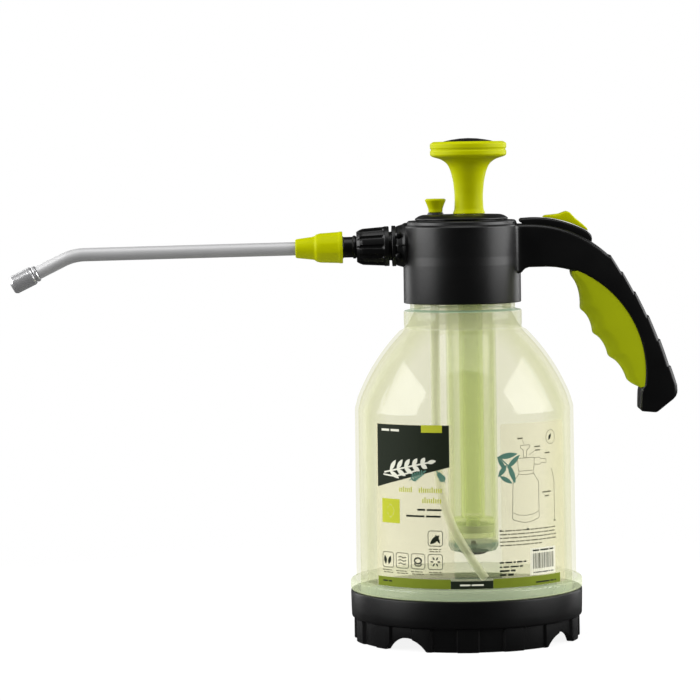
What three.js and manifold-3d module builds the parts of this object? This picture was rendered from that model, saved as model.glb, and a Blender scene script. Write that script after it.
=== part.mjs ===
// A 1.5 litre hand pressure sprayer with a long bent lance, in millimetres, +Z up.
// The origin is the centre of the base on the floor; the lance points along -X and the handle along +X.
import * as THREE from "three";
import { mergeVertices } from "three/addons/utils/BufferGeometryUtils.js";
import Module from "manifold-3d";

// ---- Driving dimensions ----
const GAP = 0.3; // between neighbouring solids that rest on each other
const TANK_R = 65.4; // outside of the tank wall under the shoulder
const TANK_FOOT_R = 66.0; // the wall drafts out to this just over the flange
const TANK_WALL = 2.0;
const FLANGE_R = 69.5;
const FLANGE_Z = 30.5; // underside of the tank's bottom flange
const NECK_R = 31.4;
const NECK_BORE = 29.0;
const NECK_TOP = 224;
const SHOULDER_R = 117; // radius of the shoulder's arc, whose centre lies past the axis
const SHOULDER_X = -45.2;
const SHOULDER_Z = 102.9;
const HEAD_R = 35.1;
const HEAD_FOOT = 201.6; // lower edge of the head's skirt
const HEAD_TOP = 250.8;
const WEB_Z = 227.5; // underside of the head's inner floor, which the neck gasket seals on
const WEB_TOP = 230.8;
const PUMP_X = 4.6; // the pump stands off the tank's axis, to leave room for the outlet
const ROD_R = 7.2;
const RELIEF_X = -15.4;
const PICKUP = [-17, -13];
const OUTLET_Z = 236.4;
const OUTLET_DROOP = 0.7; // degrees that the lance hangs below square
const LANCE_R = 4.0;
const BEND_START = 225.5; // along the lance, from the tank's axis
const BEND_R = 31;
const BEND_DEG = 25.4;
const TIP_LENGTH = 16.7; // from the end of the bend to the nozzle
const HANDLE_W = 26.4;
const HANDLE_WALL = 2.6;
const TOP_ARC = { x: 39.4, z: 179.3, r: 68.7 }; // top of the handle, over the valve
const BACK_ARC = { x: -114.9, z: 79.2, r: 252.2 }; // back of the handle, down to its heel
const PALM_ARC = { x: 43.2, z: 159.7, r: 64.7 }; // seam between the handle and its soft grip
const LEVER_ARC = { x: 42.6, z: 187.2, r: 64.5 }; // top of the thumb lever, which the lock slides on
const LEVER_W = 17.6;
const LEVER_PIN = [39, 243];
const VALVE_X = 52;

const rad = THREE.MathUtils.degToRad;
const V2 = (x, y) => new THREE.Vector2(x, y);
const V3 = (x, y, z) => new THREE.Vector3(x, y, z);

// ---- Materials ----
const finish = (color, roughness, metalness = 0, extra = {}) =>
  new THREE.MeshStandardMaterial({ color, roughness, metalness, ...extra });
const clear = { transparent: true, opacity: 0.45 };
const black = finish(0x1c1c1c, 0.45);
const lime = finish(0xa9b400, 0.42);
const softLime = finish(0x93a000, 0.55);
const tankClear = finish(0xdcdcb8, 0.2, 0, clear);
const pumpClear = finish(0xbfd6a0, 0.35, 0, clear);
const film = finish(0xe6e2c0, 0.5, 0, { transparent: true, opacity: 0.8 });
const rubber = finish(0x141414, 0.8);
const whitePlastic = finish(0xe4e4de, 0.5);
const aluminium = finish(0xc4c4c4, 0.35, 0.9);
const chrome = finish(0xd0d0d0, 0.15, 1);
const steel = finish(0xb8b8b8, 0.3, 1);

// ---- From geometry to solids and back ----
const wasm = await Module();
wasm.setup();

// A closed geometry as a manifold-3d solid, turned outwards if its faces point in.
function solid(geometry) {
  const bare = geometry.index ? geometry.toNonIndexed() : geometry.clone();
  bare.deleteAttribute("normal");
  bare.deleteAttribute("uv");
  const merged = mergeVertices(bare, 1e-3);
  const index = merged.index.array;
  const kept = [];
  for (let i = 0; i < index.length; i += 3) {
    const [a, b, c] = [index[i], index[i + 1], index[i + 2]];
    if (a !== b && b !== c && c !== a) kept.push(a, b, c);
  }
  const make = (tris) =>
    new wasm.Manifold(
      new wasm.Mesh({
        numProp: 3,
        vertProperties: merged.attributes.position.array,
        triVerts: new Uint32Array(tris),
      }),
    );
  const made = make(kept);
  return made.volume() > 0 ? made : make(kept.reverse());
}

// A named mesh of a solid or of a closed geometry.
function part(name, shape, material) {
  const made = shape.isBufferGeometry ? solid(shape) : shape;
  const mesh = made.getMesh();
  const geometry = new THREE.BufferGeometry();
  geometry.setAttribute("position", new THREE.BufferAttribute(mesh.vertProperties, 3));
  geometry.setIndex(new THREE.BufferAttribute(mesh.triVerts, 1));
  geometry.computeVertexNormals();
  const node = new THREE.Mesh(geometry, material);
  node.name = name;
  return node;
}

// A turned shape about +Z from [radius, height] points, which close on themselves or end on the axis.
function turned(points, segments = 32) {
  const closed = points[0][0] > 0 ? [...points, points[0]] : points;
  return new THREE.LatheGeometry(closed.map(([r, z]) => V2(r, z)), segments).rotateX(Math.PI / 2);
}

const tube = (inner, outer, z0, z1, segments = 32) =>
  turned([[inner, z0], [outer, z0], [outer, z1], [inner, z1]], segments);

// A plain cylinder from z0 to z1, for posts and for cutting bores.
const post = (r, z0, z1, x = 0, y = 0, segments = 24) =>
  new THREE.CylinderGeometry(r, r, z1 - z0, segments)
    .rotateX(Math.PI / 2)
    .translate(x, y, (z0 + z1) / 2);

const crossPin = (r, length, x, z, segments = 16) =>
  new THREE.CylinderGeometry(r, r, length, segments).translate(x, 0, z);

const block = (x0, x1, y0, y1, z0, z1) =>
  new THREE.BoxGeometry(x1 - x0, y1 - y0, z1 - z0)
    .translate((x0 + x1) / 2, (y0 + y1) / 2, (z0 + z1) / 2);

// A side view outline of [x, z] points, as a plate of that width across Y.
function plate(outline, width) {
  const shape = new THREE.Shape(outline.map(([x, z]) => V2(x, z)));
  return new THREE.ExtrudeGeometry(shape, { depth: width, bevelEnabled: false })
    .translate(0, 0, -width / 2)
    .rotateX(Math.PI / 2);
}

// Points along an arc in the side view, from one angle to another in degrees.
function arc({ x, z, r }, from, to, steps, grow = 0) {
  return Array.from({ length: steps + 1 }, (_, i) => {
    const a = rad(from + ((to - from) * i) / steps);
    return [x + (r + grow) * Math.cos(a), z + (r + grow) * Math.sin(a)];
  });
}

// A hose or wire of that radius along a curve, hollow where it has a bore.
function swept(curve, radius, bore, steps, sides) {
  const section = new THREE.Shape();
  section.setFromPoints(circle(radius, sides));
  if (bore) section.holes.push(new THREE.Path().setFromPoints(circle(bore, sides)));
  return new THREE.ExtrudeGeometry(section, { steps, extrudePath: curve, bevelEnabled: false });
}

const circle = (radius, sides) =>
  Array.from({ length: sides }, (_, i) => {
    const a = (2 * Math.PI * i) / sides;
    return V2(radius * Math.cos(a), radius * Math.sin(a));
  });

class Helix extends THREE.Curve {
  constructor(radius, z0, z1, turns) {
    super();
    Object.assign(this, { radius, z0, z1, turns });
  }
  getPoint(t, target = new THREE.Vector3()) {
    const a = 2 * Math.PI * this.turns * t;
    return target.set(
      this.radius * Math.cos(a),
      this.radius * Math.sin(a),
      this.z0 + (this.z1 - this.z0) * t,
    );
  }
}

const spring = (radius, wire, z0, z1, turns) =>
  swept(new Helix(radius, z0 + wire, z1 - wire, turns), wire, 0, 9 * turns, 5);

// Meshes set down together at (x, z), turned about Y by that many degrees.
function group(x, z, turn, ...meshes) {
  const made = new THREE.Group();
  made.position.set(x, 0, z);
  made.rotation.y = rad(turn);
  made.add(...meshes);
  return made;
}

// ---- Tank: one blown bottle with a foot ring, a bottom flange and a threaded neck ----
function tank() {
  const shoulder = { x: SHOULDER_X, z: SHOULDER_Z, r: SHOULDER_R };
  const outside = [
    [0, 20], [38, 15], [50, 11.9], [57, 12.2], [63.4, 17], [65.5, 23], [65.5, FLANGE_Z],
    [FLANGE_R, FLANGE_Z], [FLANGE_R, 35.4], [68.4, 36.8], [TANK_FOOT_R, 36.8],
    [TANK_R, 138],
    ...arc(shoulder, 19.5, 46.4, 5),
    [35.3, 188.4], [35.3, 197], [NECK_R, 197.6], [NECK_R, 204],
    [NECK_R + 1.6, 205], [NECK_R + 1.6, 218], [NECK_R, 219], [NECK_R, NECK_TOP],
  ];
  const inside = [
    [NECK_BORE, NECK_TOP], [NECK_BORE, 197], [33.2, 193],
    ...arc(shoulder, 46.9, 19.2, 4, -TANK_WALL),
    [TANK_R - TANK_WALL, 138], [63.4, 23], [61.7, 18.2], [56.4, 14.2], [50, 13.9], [38.5, 17], [0, 22],
  ];
  return part("tank", turned([...outside, ...inside], 32), tankClear);
}

// ---- Base boot: a cup under the tank, on a ribbed foot ring with four arches ----
function baseBoot() {
  const ribs = 15;
  const ribR = 67.8;
  const valleyR = 66.5;
  const ringR = 63.2;
  const footTop = 14.2;
  const archHigh = 7.5;
  const archHalf = 14.6;
  const outline = [];
  for (let i = 0; i < ribs; i++) {
    [[-6, ribR], [0, ribR], [6, ribR], [6.6, valleyR], [17.4, valleyR]].forEach(([degrees, r]) => {
      const a = rad(i * (360 / ribs) + degrees - 90);
      outline.push(V2(r * Math.cos(a), r * Math.sin(a)));
    });
  }
  const ring = new THREE.Shape(outline);
  ring.holes.push(new THREE.Path().setFromPoints(circle(ringR, 40)));
  const foot = solid(new THREE.ExtrudeGeometry(ring, { depth: footTop, bevelEnabled: false }));
  const cup = turned([
    [0, 9], [66, 9], [66, footTop - 0.4], [68.6, 15.2], [69.2, 17], [FLANGE_R, 30.2], [66.3, 30.2],
    [66.3, 21], [62, 11.4], [0, 11.4],
  ], 40);
  const hub = post(12, 0, 9.5, 0, 0, 20);
  let made = foot.add(solid(cup)).add(solid(hub));
  const archR = (archHalf ** 2 + archHigh ** 2) / (2 * archHigh);
  for (let i = 0; i < 4; i++) {
    const cutter = new THREE.CylinderGeometry(archR, archR, 12, 28)
      .translate(0, 66, 0)
      .translate(0, 0, archHigh - archR)
      .rotateZ(rad(58.5 + 90 * i));
    made = made.subtract(solid(cutter));
  }
  return part("base_boot", made, black);
}

// ---- Label: a printed film of two panels, joined by a stripe along the foot ----
function label() {
  const inner = TANK_FOOT_R + 0.35;
  const outer = inner + 0.4;
  const panel = (from, to, z0, z1, steps) => {
    const edge = (r, a, b) =>
      Array.from({ length: steps + 1 }, (_, i) => {
        const turn = rad(a + ((b - a) * i) / steps - 90);
        return V2(r * Math.cos(turn), r * Math.sin(turn));
      });
    const sector = new THREE.Shape([...edge(outer, from, to), ...edge(inner, to, from)]);
    return solid(
      new THREE.ExtrudeGeometry(sector, { depth: z1 - z0, bevelEnabled: false }).translate(0, 0, z0),
    );
  };
  const foot = 37.3;
  const made = panel(-54, -7.6, foot, 133.2, 12)
    .add(panel(16.4, 60, foot, 133.2, 12))
    .add(panel(-8.6, 17.4, foot, 43.3, 7));
  return part("label", made, film);
}

// ---- Head housing: skirt, inner floor, valve chamber and outlet spigot in one moulding ----
const outletTurn = -(90 + OUTLET_DROOP);
const alongOutlet = (geometry) => geometry.rotateY(rad(outletTurn)).translate(0, 0, OUTLET_Z);

function headHousing() {
  const shell = turned([
    [0, WEB_Z], [33.9, WEB_Z], [33.9, HEAD_FOOT], [HEAD_R, HEAD_FOOT], [HEAD_R, 227],
    [34.9, 227.6], [34.9, 246.4], [32.8, 248.4], [32.1, HEAD_TOP], [25.6, HEAD_TOP],
    [25.6, 247.6], [31.6, 247.6], [31.6, WEB_TOP], [0, WEB_TOP],
  ], 32);
  const spout = alongOutlet(turned([
    [0, 28], [12.8, 28], [12, 38.4], [11, 39.3], [12.2, 39.3], [12.2, 41.9], [8.6, 41.9], [8.6, 52], [0, 52],
  ], 20));
  const barb = post(1.5, 219, WEB_Z + 1, ...PICKUP, 12);
  const rooms = [post(33.8, HEAD_FOOT - 1, WEB_Z, 0, 0, 32), post(31.5, WEB_TOP, 247.6, 0, 0, 32)];
  const cuts = [
    alongOutlet(post(4.5, 27, 53, 0, 0, 16)),
    post(15.6, WEB_Z - 1, WEB_TOP + 1, PUMP_X, 0, 28),
    post(0.9, 218, WEB_TOP + 1, ...PICKUP, 12),
    post(1.3, WEB_Z - 1, WEB_TOP + 1, RELIEF_X, 0, 12),
    block(28, 37, -11, 11, 231.3, 246.6),
  ];
  let made = solid(shell).add(solid(spout));
  rooms.forEach((room) => (made = made.subtract(solid(room))));
  made = made.add(solid(barb));
  cuts.forEach((cut) => (made = made.subtract(solid(cut))));
  return part("head_housing", made, black);
}

// ---- Top cover: closes the head, guides the pump rod and holds the relief valve ----
function topCover() {
  const foot = HEAD_TOP + GAP;
  const disc = turned([
    [0, foot], [27.9, foot], [27.9, 252.6], [26.4, 254.1], [0, 254.1],
  ], 32);
  const skirt = turned([[0, 248.4], [25.2, 248.4], [25.2, foot + 0.1], [0, foot + 0.1]], 32);
  const clamp = tube(14.6, 16.8, 235.2, 249, 24).translate(PUMP_X, 0, 0);
  const guide = post(12.2, 242, 249, PUMP_X, 0, 24);
  const duct = turned([[0, WEB_TOP + GAP], [2.5, WEB_TOP + GAP], [2.5, 239], [5, 241], [5, 249], [0, 249]], 16)
    .translate(RELIEF_X, 0, 0);
  const reliefSeat = post(4.4, 254, 255.5, RELIEF_X, 0, 16);
  const cuts = [
    post(10, 243.2, 256, PUMP_X, 0, 32),
    post(8.2, 241, 244, PUMP_X, 0, 32),
    post(1.3, 230, 243, RELIEF_X, 0, 12),
    post(4.1, 242, 251.2, RELIEF_X, 0, 16),
    post(1.9, 250, 257, RELIEF_X, 0, 12),
  ];
  let made = [skirt, clamp, guide, duct, reliefSeat].reduce((a, b) => a.add(solid(b)), solid(disc));
  cuts.forEach((cut) => (made = made.subtract(solid(cut))));
  return part("top_cover", made, black);
}

// ---- Air pump: cylinder, its seals, and the plunger that slides and turns in it ----
function pumpCylinder() {
  const foot = 52.5;
  const barrel = turned([
    [0, foot], [15, foot], [15, 232.6], [17.2, 232.6], [17.2, 234.9], [13.4, 234.9],
    [13.4, foot + 2.2], [0, foot + 2.2],
  ], 28);
  let made = solid(barrel).subtract(solid(post(1.4, foot - 1, foot + 3, 0, 0, 8)));
  for (let i = 0; i < 4; i++) {
    const a = rad(45 + 90 * i);
    made = made.subtract(solid(post(1.6, foot - 1, foot + 3, 6 * Math.cos(a), 6 * Math.sin(a), 8)));
  }
  return part("pump_cylinder", made, pumpClear);
}

const pumpParts = () => [
  pumpCylinder(),
  part("cylinder_gasket", tube(15.9, 17.1, WEB_TOP + GAP, 232.3, 24), rubber),
  part("foot_valve", turned([
    [0, 49.6], [6, 50.2], [9.4, 51.9], [9.4, 52.2], [1.1, 52.2], [1.1, 55], [2.2, 55], [1.2, 58], [0, 58],
  ], 16), rubber),
  part("guide_bush", tube(7.5, 9.7, 243.5, 253.8, 24), whitePlastic),
];

const pistonParts = () => [
  part("piston", turned([
    [0, 60.5], [12.7, 60.5], [12.7, 63.4], [10.9, 63.4], [10.9, 68.6], [12.7, 68.6], [12.7, 72],
    [4.3, 72], [4.3, 64], [0, 64],
  ], 24), whitePlastic),
  part("piston_seal", tube(11.2, 13.15, 63.8, 68.2, 24), rubber),
];

const plungerParts = () => [
  part("pump_rod", turned([
    [0, 65], [4, 65], [4, 72.4], [ROD_R, 72.4], [ROD_R, 272], [5.2, 272], [5.2, 75], [0, 75],
  ], 20), whitePlastic),
  part("pump_knob", turned([
    [7.5, 254.5], [9.8, 254.5], [8.6, 257.6], [8.5, 265], [9.6, 275.5], [12, 283.2], [15.8, 286.8],
    [22.8, 289.6], [22.8, 296], [21.4, 297.6], [16, 297.6], [16, 295.4], [0, 295.4], [0, 272.4], [7.5, 272.4],
  ], 28), lime),
  part("knob_cap", turned([
    [0, 295.7], [15.6, 295.7], [15.6, 297.5], [10, 298.9], [0, 299.6],
  ], 28), black),
];

// ---- Relief valve: a sprung pull knob over the air space ----
const reliefParts = () => [
  part("relief_knob", turned([
    [0, 244.1], [3.4, 244.1], [3.4, 245.7], [1.5, 245.7], [1.5, 255.8], [4.2, 255.8], [4.3, 258],
    [6.2, 262.8], [5.6, 263.6], [0, 263.8],
  ], 20), lime),
  part("relief_seal", tube(0.8, 3.6, 242.3, 243.8, 16), rubber),
  part("relief_spring", spring(2.7, 0.4, 246, 250.9, 3), steel),
];

// ---- Handle: an open-backed arm, its soft grip, and the thumb lever with its lock ----
function handleFrame() {
  const outline = [
    [30, 222.4], [50.6, 222.4], [59.7, 221.3], [65.4, 219.8], ...arc(PALM_ARC, 67.4, -8, 12),
    [105.2, 147.6], [104.8, 136.4], [105.9, 135.2], [114.8, 134.4], [124.6, 142.2], [127.2, 145.4],
    ...arc(BACK_ARC, 16.4, 36.4, 9),
    ...arc(TOP_ARC, 46.5, 90, 9),
    [30, TOP_ARC.z + TOP_ARC.r],
  ];
  const hollow = [
    [28, 225], [PALM_ARC.x, 225.2],
    ...arc(PALM_ARC, 86, 69, 4, 0.9),
    [65.7, 214.4], [98, 152], [121, 152],
    ...arc(BACK_ARC, 17.4, 36, 8, -HANDLE_WALL),
    ...arc(TOP_ARC, 46.5, 90, 8, -HANDLE_WALL),
    [28, TOP_ARC.z + TOP_ARC.r - HANDLE_WALL],
  ];
  const cuts = [
    plate(hollow, HANDLE_W - 2 * HANDLE_WALL),
    block(28, 78.2, -9.4, 9.4, 232, 252),
    post(HEAD_R + GAP, 195, 260, 0, 0, 96),
    crossPin(1.8, 24.6, ...LEVER_PIN),
  ];
  let made = solid(plate(outline, HANDLE_W));
  cuts.forEach((cut) => (made = made.subtract(solid(cut))));
  return part("handle_frame", made, black);
}

// The finger side: four hollows between five crests, each a shallow arc.
function gripInsert() {
  const crests = [[65.4, 216], [70.1, 196.3], [77.6, 181.6], [86.8, 167.7], [98.2, 152.9]];
  const sag = 1.9;
  const fingers = crests.slice(1).flatMap((end, i) => {
    const start = crests[i];
    const run = [end[0] - start[0], end[1] - start[1]];
    const length = Math.hypot(...run);
    const inward = [-run[1] / length, run[0] / length];
    return [1, 2, 3, 4, 5].map((k) => {
      const t = k / 5;
      const depth = 4 * sag * t * (1 - t);
      return [start[0] + run[0] * t + inward[0] * depth, start[1] + run[1] * t + inward[1] * depth];
    });
  });
  const outline = [
    [64.9, 219.3], crests[0], ...fingers, [105.2, 149.2], ...arc(PALM_ARC, -7.4, 66.6, 12, -GAP),
  ];
  const tongue = [...arc(PALM_ARC, -4, 65, 10, -3), ...arc(PALM_ARC, 65, -4, 10, 3)];
  const made = solid(plate(outline, 25.4)).add(solid(plate(tongue, HANDLE_W - 2 * HANDLE_WALL - 0.8)));
  return part("grip_insert", made, softLime);
}

function thumbLever() {
  const under = LEVER_ARC.r - 5;
  const outline = [
    [36.3, 240.1], [41.6, 240.1], [42, 246.4],
    ...arc({ ...LEVER_ARC, r: under }, 86, 54.8, 9),
    [77.2, 236.2], [77.4, 239.4], [76.4, 241.6],
    ...arc(LEVER_ARC, 58.6, 91, 10),
    [35.6, 251.5], [34.5, 250.4], [34.6, 249.4], [36.3, 248.4],
  ];
  const cuts = [crossPin(1.8, 20, ...LEVER_PIN), lockSlot()];
  let made = solid(plate(outline, LEVER_W));
  cuts.forEach((cut) => (made = made.subtract(solid(cut))));
  return part("thumb_lever", made, black);
}

const lockSlot = () =>
  plate([...arc(LEVER_ARC, 72.5, 66.5, 3, 4), ...arc(LEVER_ARC, 66.5, 72.5, 3, -8)], 6.6);

function lockSlider() {
  const pad = [
    ...arc(LEVER_ARC, 59.9, 84.6, 8, GAP),
    [53, 253.1], [58.4, 253.7], [61.2, 254.8], [62.8, 255.2], [64.6, 254.4], [67.4, 251.2],
    [71.6, 247.7], [75, 244.5],
  ];
  const shank = [...arc(LEVER_ARC, 67, 69, 1, 2), ...arc(LEVER_ARC, 69, 67, 1, -4.6)];
  return part("lock_slider", solid(plate(pad, 15)).add(solid(plate(shank, 5.6))), lime);
}

// ---- Spray valve in the handle's root, opened by the lever ----
const valveParts = () => [
  part("valve_body", turned([
    [0, 225.7], [6.3, 225.7], [6.3, 241.5], [2.1, 241.5], [2.1, 239], [4, 239], [4, 228.3], [0, 228.3],
  ], 24), whitePlastic),
  part("valve_spring", spring(2.9, 0.4, 228.6, 234.3, 3), steel),
  part("valve_stem", turned([
    [0, 230.3], [1.8, 230.3], [1.8, 234.6], [3.6, 234.6], [3.6, 236.9], [1.8, 236.9], [1.8, 245.2], [0, 245.2],
  ], 20), whitePlastic),
  part("valve_seal", tube(2.1, 3.6, 237.2, 238.7, 16), rubber),
];

const feedRoute = [
  [-17, -13, 231.3], [-17, -13.8, 234.6], [-11, -22, 237.2], [4, -26.2, 238], [17, -21.5, 238],
  [24.6, -12.8, 237.4], [31, -6.8, 236.4], [38, -3.6, 235], [45.2, -2.7, 234.4],
];
const deliveryRoute = [
  [45.2, 2.7, 232], [38, 3.4, 233.6], [31, 6, 235.4], [24.6, 12, 237], [17, 21, 238], [4, 26.2, 238],
  [-11.5, 23.6, 237.6], [-21.5, 16.4, 237], [-26.2, 8.4, 236.5], [-28.8, 2.6, 236.1], [-33.5, 0, 236],
];
const pickupRoute = [
  [-17, -13, 226.9], [-17, -13, 190], [-17.2, -13.4, 150], [-17, -15, 115], [-14.4, -17.4, 88],
  [-8, -19, 68], [1.5, -18.6, 51], [10.6, -17.6, 37.5],
];
const hose = (name, route, radius, bore, steps, material) =>
  part(name, swept(new THREE.CatmullRomCurve3(route.map((p) => V3(...p))), radius, bore, steps, 8), material);

// ---- Outlet: everything along the lance, turned about a local +Z that leaves the head ----
function lanceNut() {
  const flutes = 12;
  const body = turned([
    [9, 43.4], [11.9, 43.4], [11.9, 46], [11.7, 46.4], [10.9, 58.4], [10.1, 61], [9, 62.9], [7.1, 62.9],
    [7.1, 56.4], [9, 56.4],
  ], 24);
  let made = solid(body);
  for (let i = 0; i < flutes; i++) {
    const flute = new THREE.CylinderGeometry(1.9, 1.9, 14, 6)
      .rotateX(Math.PI / 2)
      .translate(12.6, 0, 54.4)
      .rotateZ(rad((i * 360) / flutes));
    made = made.subtract(solid(flute));
  }
  return part("lance_nut", made, black);
}

const lanceParts = () => [
  part("outlet_washer", tube(4.7, 7.8, 52.3, 53.8, 16), rubber),
  part("lance_adapter", turned([
    [1.8, 45], [4.1, 45], [4.1, 54.1], [7.8, 54.1], [7.8, 56.1], [6.4, 56.1], [6.4, 63.2], [6.9, 63.4],
    [6.9, 65], [6.2, 65.2], [6.2, 70.6], [7.1, 71.6], [7.1, 84], [4.3, 84], [4.3, 73.5], [1.8, 73.5],
  ], 16), black),
  part("gland_seal", tube(4.3, 6.4, 84.3, 86, 16), rubber),
];

const glandCollar = () =>
  part("gland_collar", turned([
    [7.5, 71.2], [9.4, 71.2], [9.4, 73], [8.8, 84.4], [8.2, 86.6], [7, 88.6], [6.8, 89.4], [5.6, 98.8],
    [5.2, 99.5], [4.35, 99.5], [4.35, 87], [6.9, 86.4], [7.5, 84],
  ], 20), lime);

// The lance's centre line: one step straight, six round the bend, and one straight to the nozzle.
class LanceLine extends THREE.Curve {
  constructor(start, tip) {
    super();
    Object.assign(this, { start, tip });
  }
  getUtoTmapping(u) {
    return u;
  }
  getPoint(t, target = new THREE.Vector3()) {
    const step = 8 * t;
    const before = Math.min(step, 1) * (BEND_START - this.start);
    const turn = THREE.MathUtils.clamp((step - 1) / 6, 0, 1) * rad(BEND_DEG);
    const after = Math.max(step - 7, 0) * this.tip;
    return target.set(
      -BEND_R * (1 - Math.cos(turn)) - after * Math.sin(turn),
      0,
      this.start + before + BEND_R * Math.sin(turn) + after * Math.cos(turn),
    );
  }
}

const lanceTube = () =>
  part("lance_tube", swept(new LanceLine(74, TIP_LENGTH - GAP), LANCE_R, 3, 8, 16), aluminium);

// ---- Nozzle: a core in the tube's end, and a knurled cap that screws out along it. ----
// Heights are from the end of the tube.
const nozzleCore = () =>
  part("nozzle_core", turned([
    [0.8, -6], [2.7, -6], [2.7, 0], [4.8, 0], [4.9, 2.4], [4.2, 2.6], [4.2, 12], [2.4, 12.2],
    [2.4, 14.8], [0.8, 14.8],
  ], 16), chrome);

const nozzleRing = () => part("nozzle_oring", tube(2.75, 4.2, 12.5, 13.8, 16), rubber);

function nozzleCap() {
  const knurls = 24;
  const body = turned([
    [4.5, 2.8], [5.2, 2.8], [5.6, 3.6], [5.6, 15.8], [4.7, 17.4], [2.4, 17.6], [1.2, 16.6], [0.6, 16.6],
    [0.6, 15.3], [4.5, 15.3],
  ], 24);
  let made = solid(body);
  for (let i = 0; i < knurls; i += 2) {
    const groove = block(5.3, 6.5, -0.35, 0.35, 4.6, 14.6).rotateZ(rad(((i + 0.5) * 360) / knurls));
    made = made.subtract(solid(groove));
  }
  return part("nozzle_cap", made, chrome);
}

// ---- Assembly ----
const bendEnd = [
  -BEND_R * (1 - Math.cos(rad(BEND_DEG))),
  BEND_START + BEND_R * Math.sin(rad(BEND_DEG)),
];
const nozzle = group(0, TIP_LENGTH, 0, nozzleCore(), nozzleRing(), nozzleCap());
const tip = group(...bendEnd, -BEND_DEG, nozzle);
const outlet = group(
  0, OUTLET_Z, outletTurn, lanceNut(), ...lanceParts(), glandCollar(), lanceTube(), tip,
);

const sprayer = new THREE.Group();
sprayer.add(
  tank(), baseBoot(), label(),
  part("neck_gasket", tube(28.8, 32.6, NECK_TOP + GAP, WEB_Z - GAP), rubber),
  headHousing(), topCover(), handleFrame(), gripInsert(),
  part("lever_pin", crossPin(1.5, 24, ...LEVER_PIN), steel),
  thumbLever(), lockSlider(),
  hose("feed_hose", feedRoute, 2.1, 1.2, 11, whitePlastic),
  hose("delivery_hose", deliveryRoute, 2.1, 1.2, 14, whitePlastic),
  hose("pickup_tube", pickupRoute, 2.7, 1.8, 12, pumpClear),
  group(PUMP_X, 0, 0, ...pumpParts(), ...pistonParts(), ...plungerParts()),
  group(RELIEF_X, 0, 0, ...reliefParts()),
  group(VALVE_X, 0, 0, ...valveParts()),
  outlet,
);

export default sprayer;
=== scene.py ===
# A hand pressure sprayer: a translucent tank in a black boot, a screwed pump head with a handle, and a bent lance.
# Shapes are worked out in millimetres and set down in metres, in the frame's own axes: +Z up, the lance along -X.
import math

import bmesh
import bpy
import numpy as np
from mathutils import Matrix, Vector


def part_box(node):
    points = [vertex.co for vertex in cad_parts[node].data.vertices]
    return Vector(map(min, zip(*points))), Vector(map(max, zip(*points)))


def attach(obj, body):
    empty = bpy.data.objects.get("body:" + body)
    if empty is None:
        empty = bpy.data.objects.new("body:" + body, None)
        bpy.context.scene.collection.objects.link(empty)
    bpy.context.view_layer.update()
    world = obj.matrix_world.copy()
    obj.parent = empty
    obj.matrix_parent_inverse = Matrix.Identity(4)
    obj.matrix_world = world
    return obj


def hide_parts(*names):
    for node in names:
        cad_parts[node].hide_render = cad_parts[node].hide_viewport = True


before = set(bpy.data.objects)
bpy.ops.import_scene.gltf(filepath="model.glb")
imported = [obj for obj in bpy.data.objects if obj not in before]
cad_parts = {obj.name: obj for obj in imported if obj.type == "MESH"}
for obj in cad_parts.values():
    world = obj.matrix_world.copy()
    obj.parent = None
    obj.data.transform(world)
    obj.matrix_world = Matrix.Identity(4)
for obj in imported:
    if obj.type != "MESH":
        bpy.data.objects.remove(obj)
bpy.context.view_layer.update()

# ------------------------------------------------------------------------------
# Tank: a bottle blown in one piece from natural polythene, about 2 mm thick, with a rounded foot ring, a flange that
# the boot grips, long sloping shoulders, and a thick moulded collar and thread at the neck.


def span(node):
    """(foot, top, radius) of an upright round node in millimetres, from its box in the frame."""
    low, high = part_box(node)
    return low.z * 1000, high.z * 1000, (high.y - low.y) * 500


def rounded(corners, closed=False, steps=6):
    """An outline through (x, z, radius) corners, each one turned into an arc of its radius that touches both sides.

    The arc's centre lies on the corner's bisector at radius / sin(half the angle), and its points swing evenly from
    one touching point to the other.
    """
    c = np.array([(*p, 0)[:3] for p in corners], float)
    p, radius = c[:, :2], c[:, 2]
    before, after = np.roll(p, 1, 0) - p, np.roll(p, -1, 0) - p
    if not closed:
        radius[[0, -1]] = 0
    reach = np.minimum(np.hypot(*before.T), np.hypot(*after.T))
    d1 = before / np.maximum(np.hypot(*before.T), 1e-9)[:, None]
    d2 = after / np.maximum(np.hypot(*after.T), 1e-9)[:, None]
    half = np.arccos(np.clip((d1 * d2).sum(1), -1, 1)) / 2
    radius = np.minimum(radius, 0.49 * reach * np.tan(half))
    swing = np.clip(np.pi - 2 * half, 1e-4, np.pi - 1e-4)
    bisector = d1 + d2
    bisector /= np.maximum(np.hypot(*bisector.T), 1e-9)[:, None]
    centre = p + bisector * (radius / np.sin(half))[:, None]
    touch1 = p + d1 * (radius / np.tan(half))[:, None]
    touch2 = p + d2 * (radius / np.tan(half))[:, None]
    s = np.linspace(0, 1, steps + 1)[None, :, None]
    w = swing[:, None, None]
    arcs = centre[:, None] + (
        np.sin((1 - s) * w) * (touch1 - centre)[:, None] + np.sin(s * w) * (touch2 - centre)[:, None]
    ) / np.sin(w)
    straight = (radius < 1e-6) | (half > np.pi / 2 - 1e-3)
    arcs[straight] = p[straight][:, None]
    line = arcs.reshape(-1, 2)
    step = np.hypot(*(line - np.roll(line, 1, 0)).T)
    step[0] = max(step[0], 1) if not closed else step[0]
    return line[step > 1e-5]


def arc(x, z, radius, start, end, steps=12):
    """Points on a circle about (x, z), from one angle in degrees to another."""
    a = np.radians(np.linspace(start, end, steps + 1))
    return np.stack([x + radius * np.cos(a), z + radius * np.sin(a)], 1)


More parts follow.
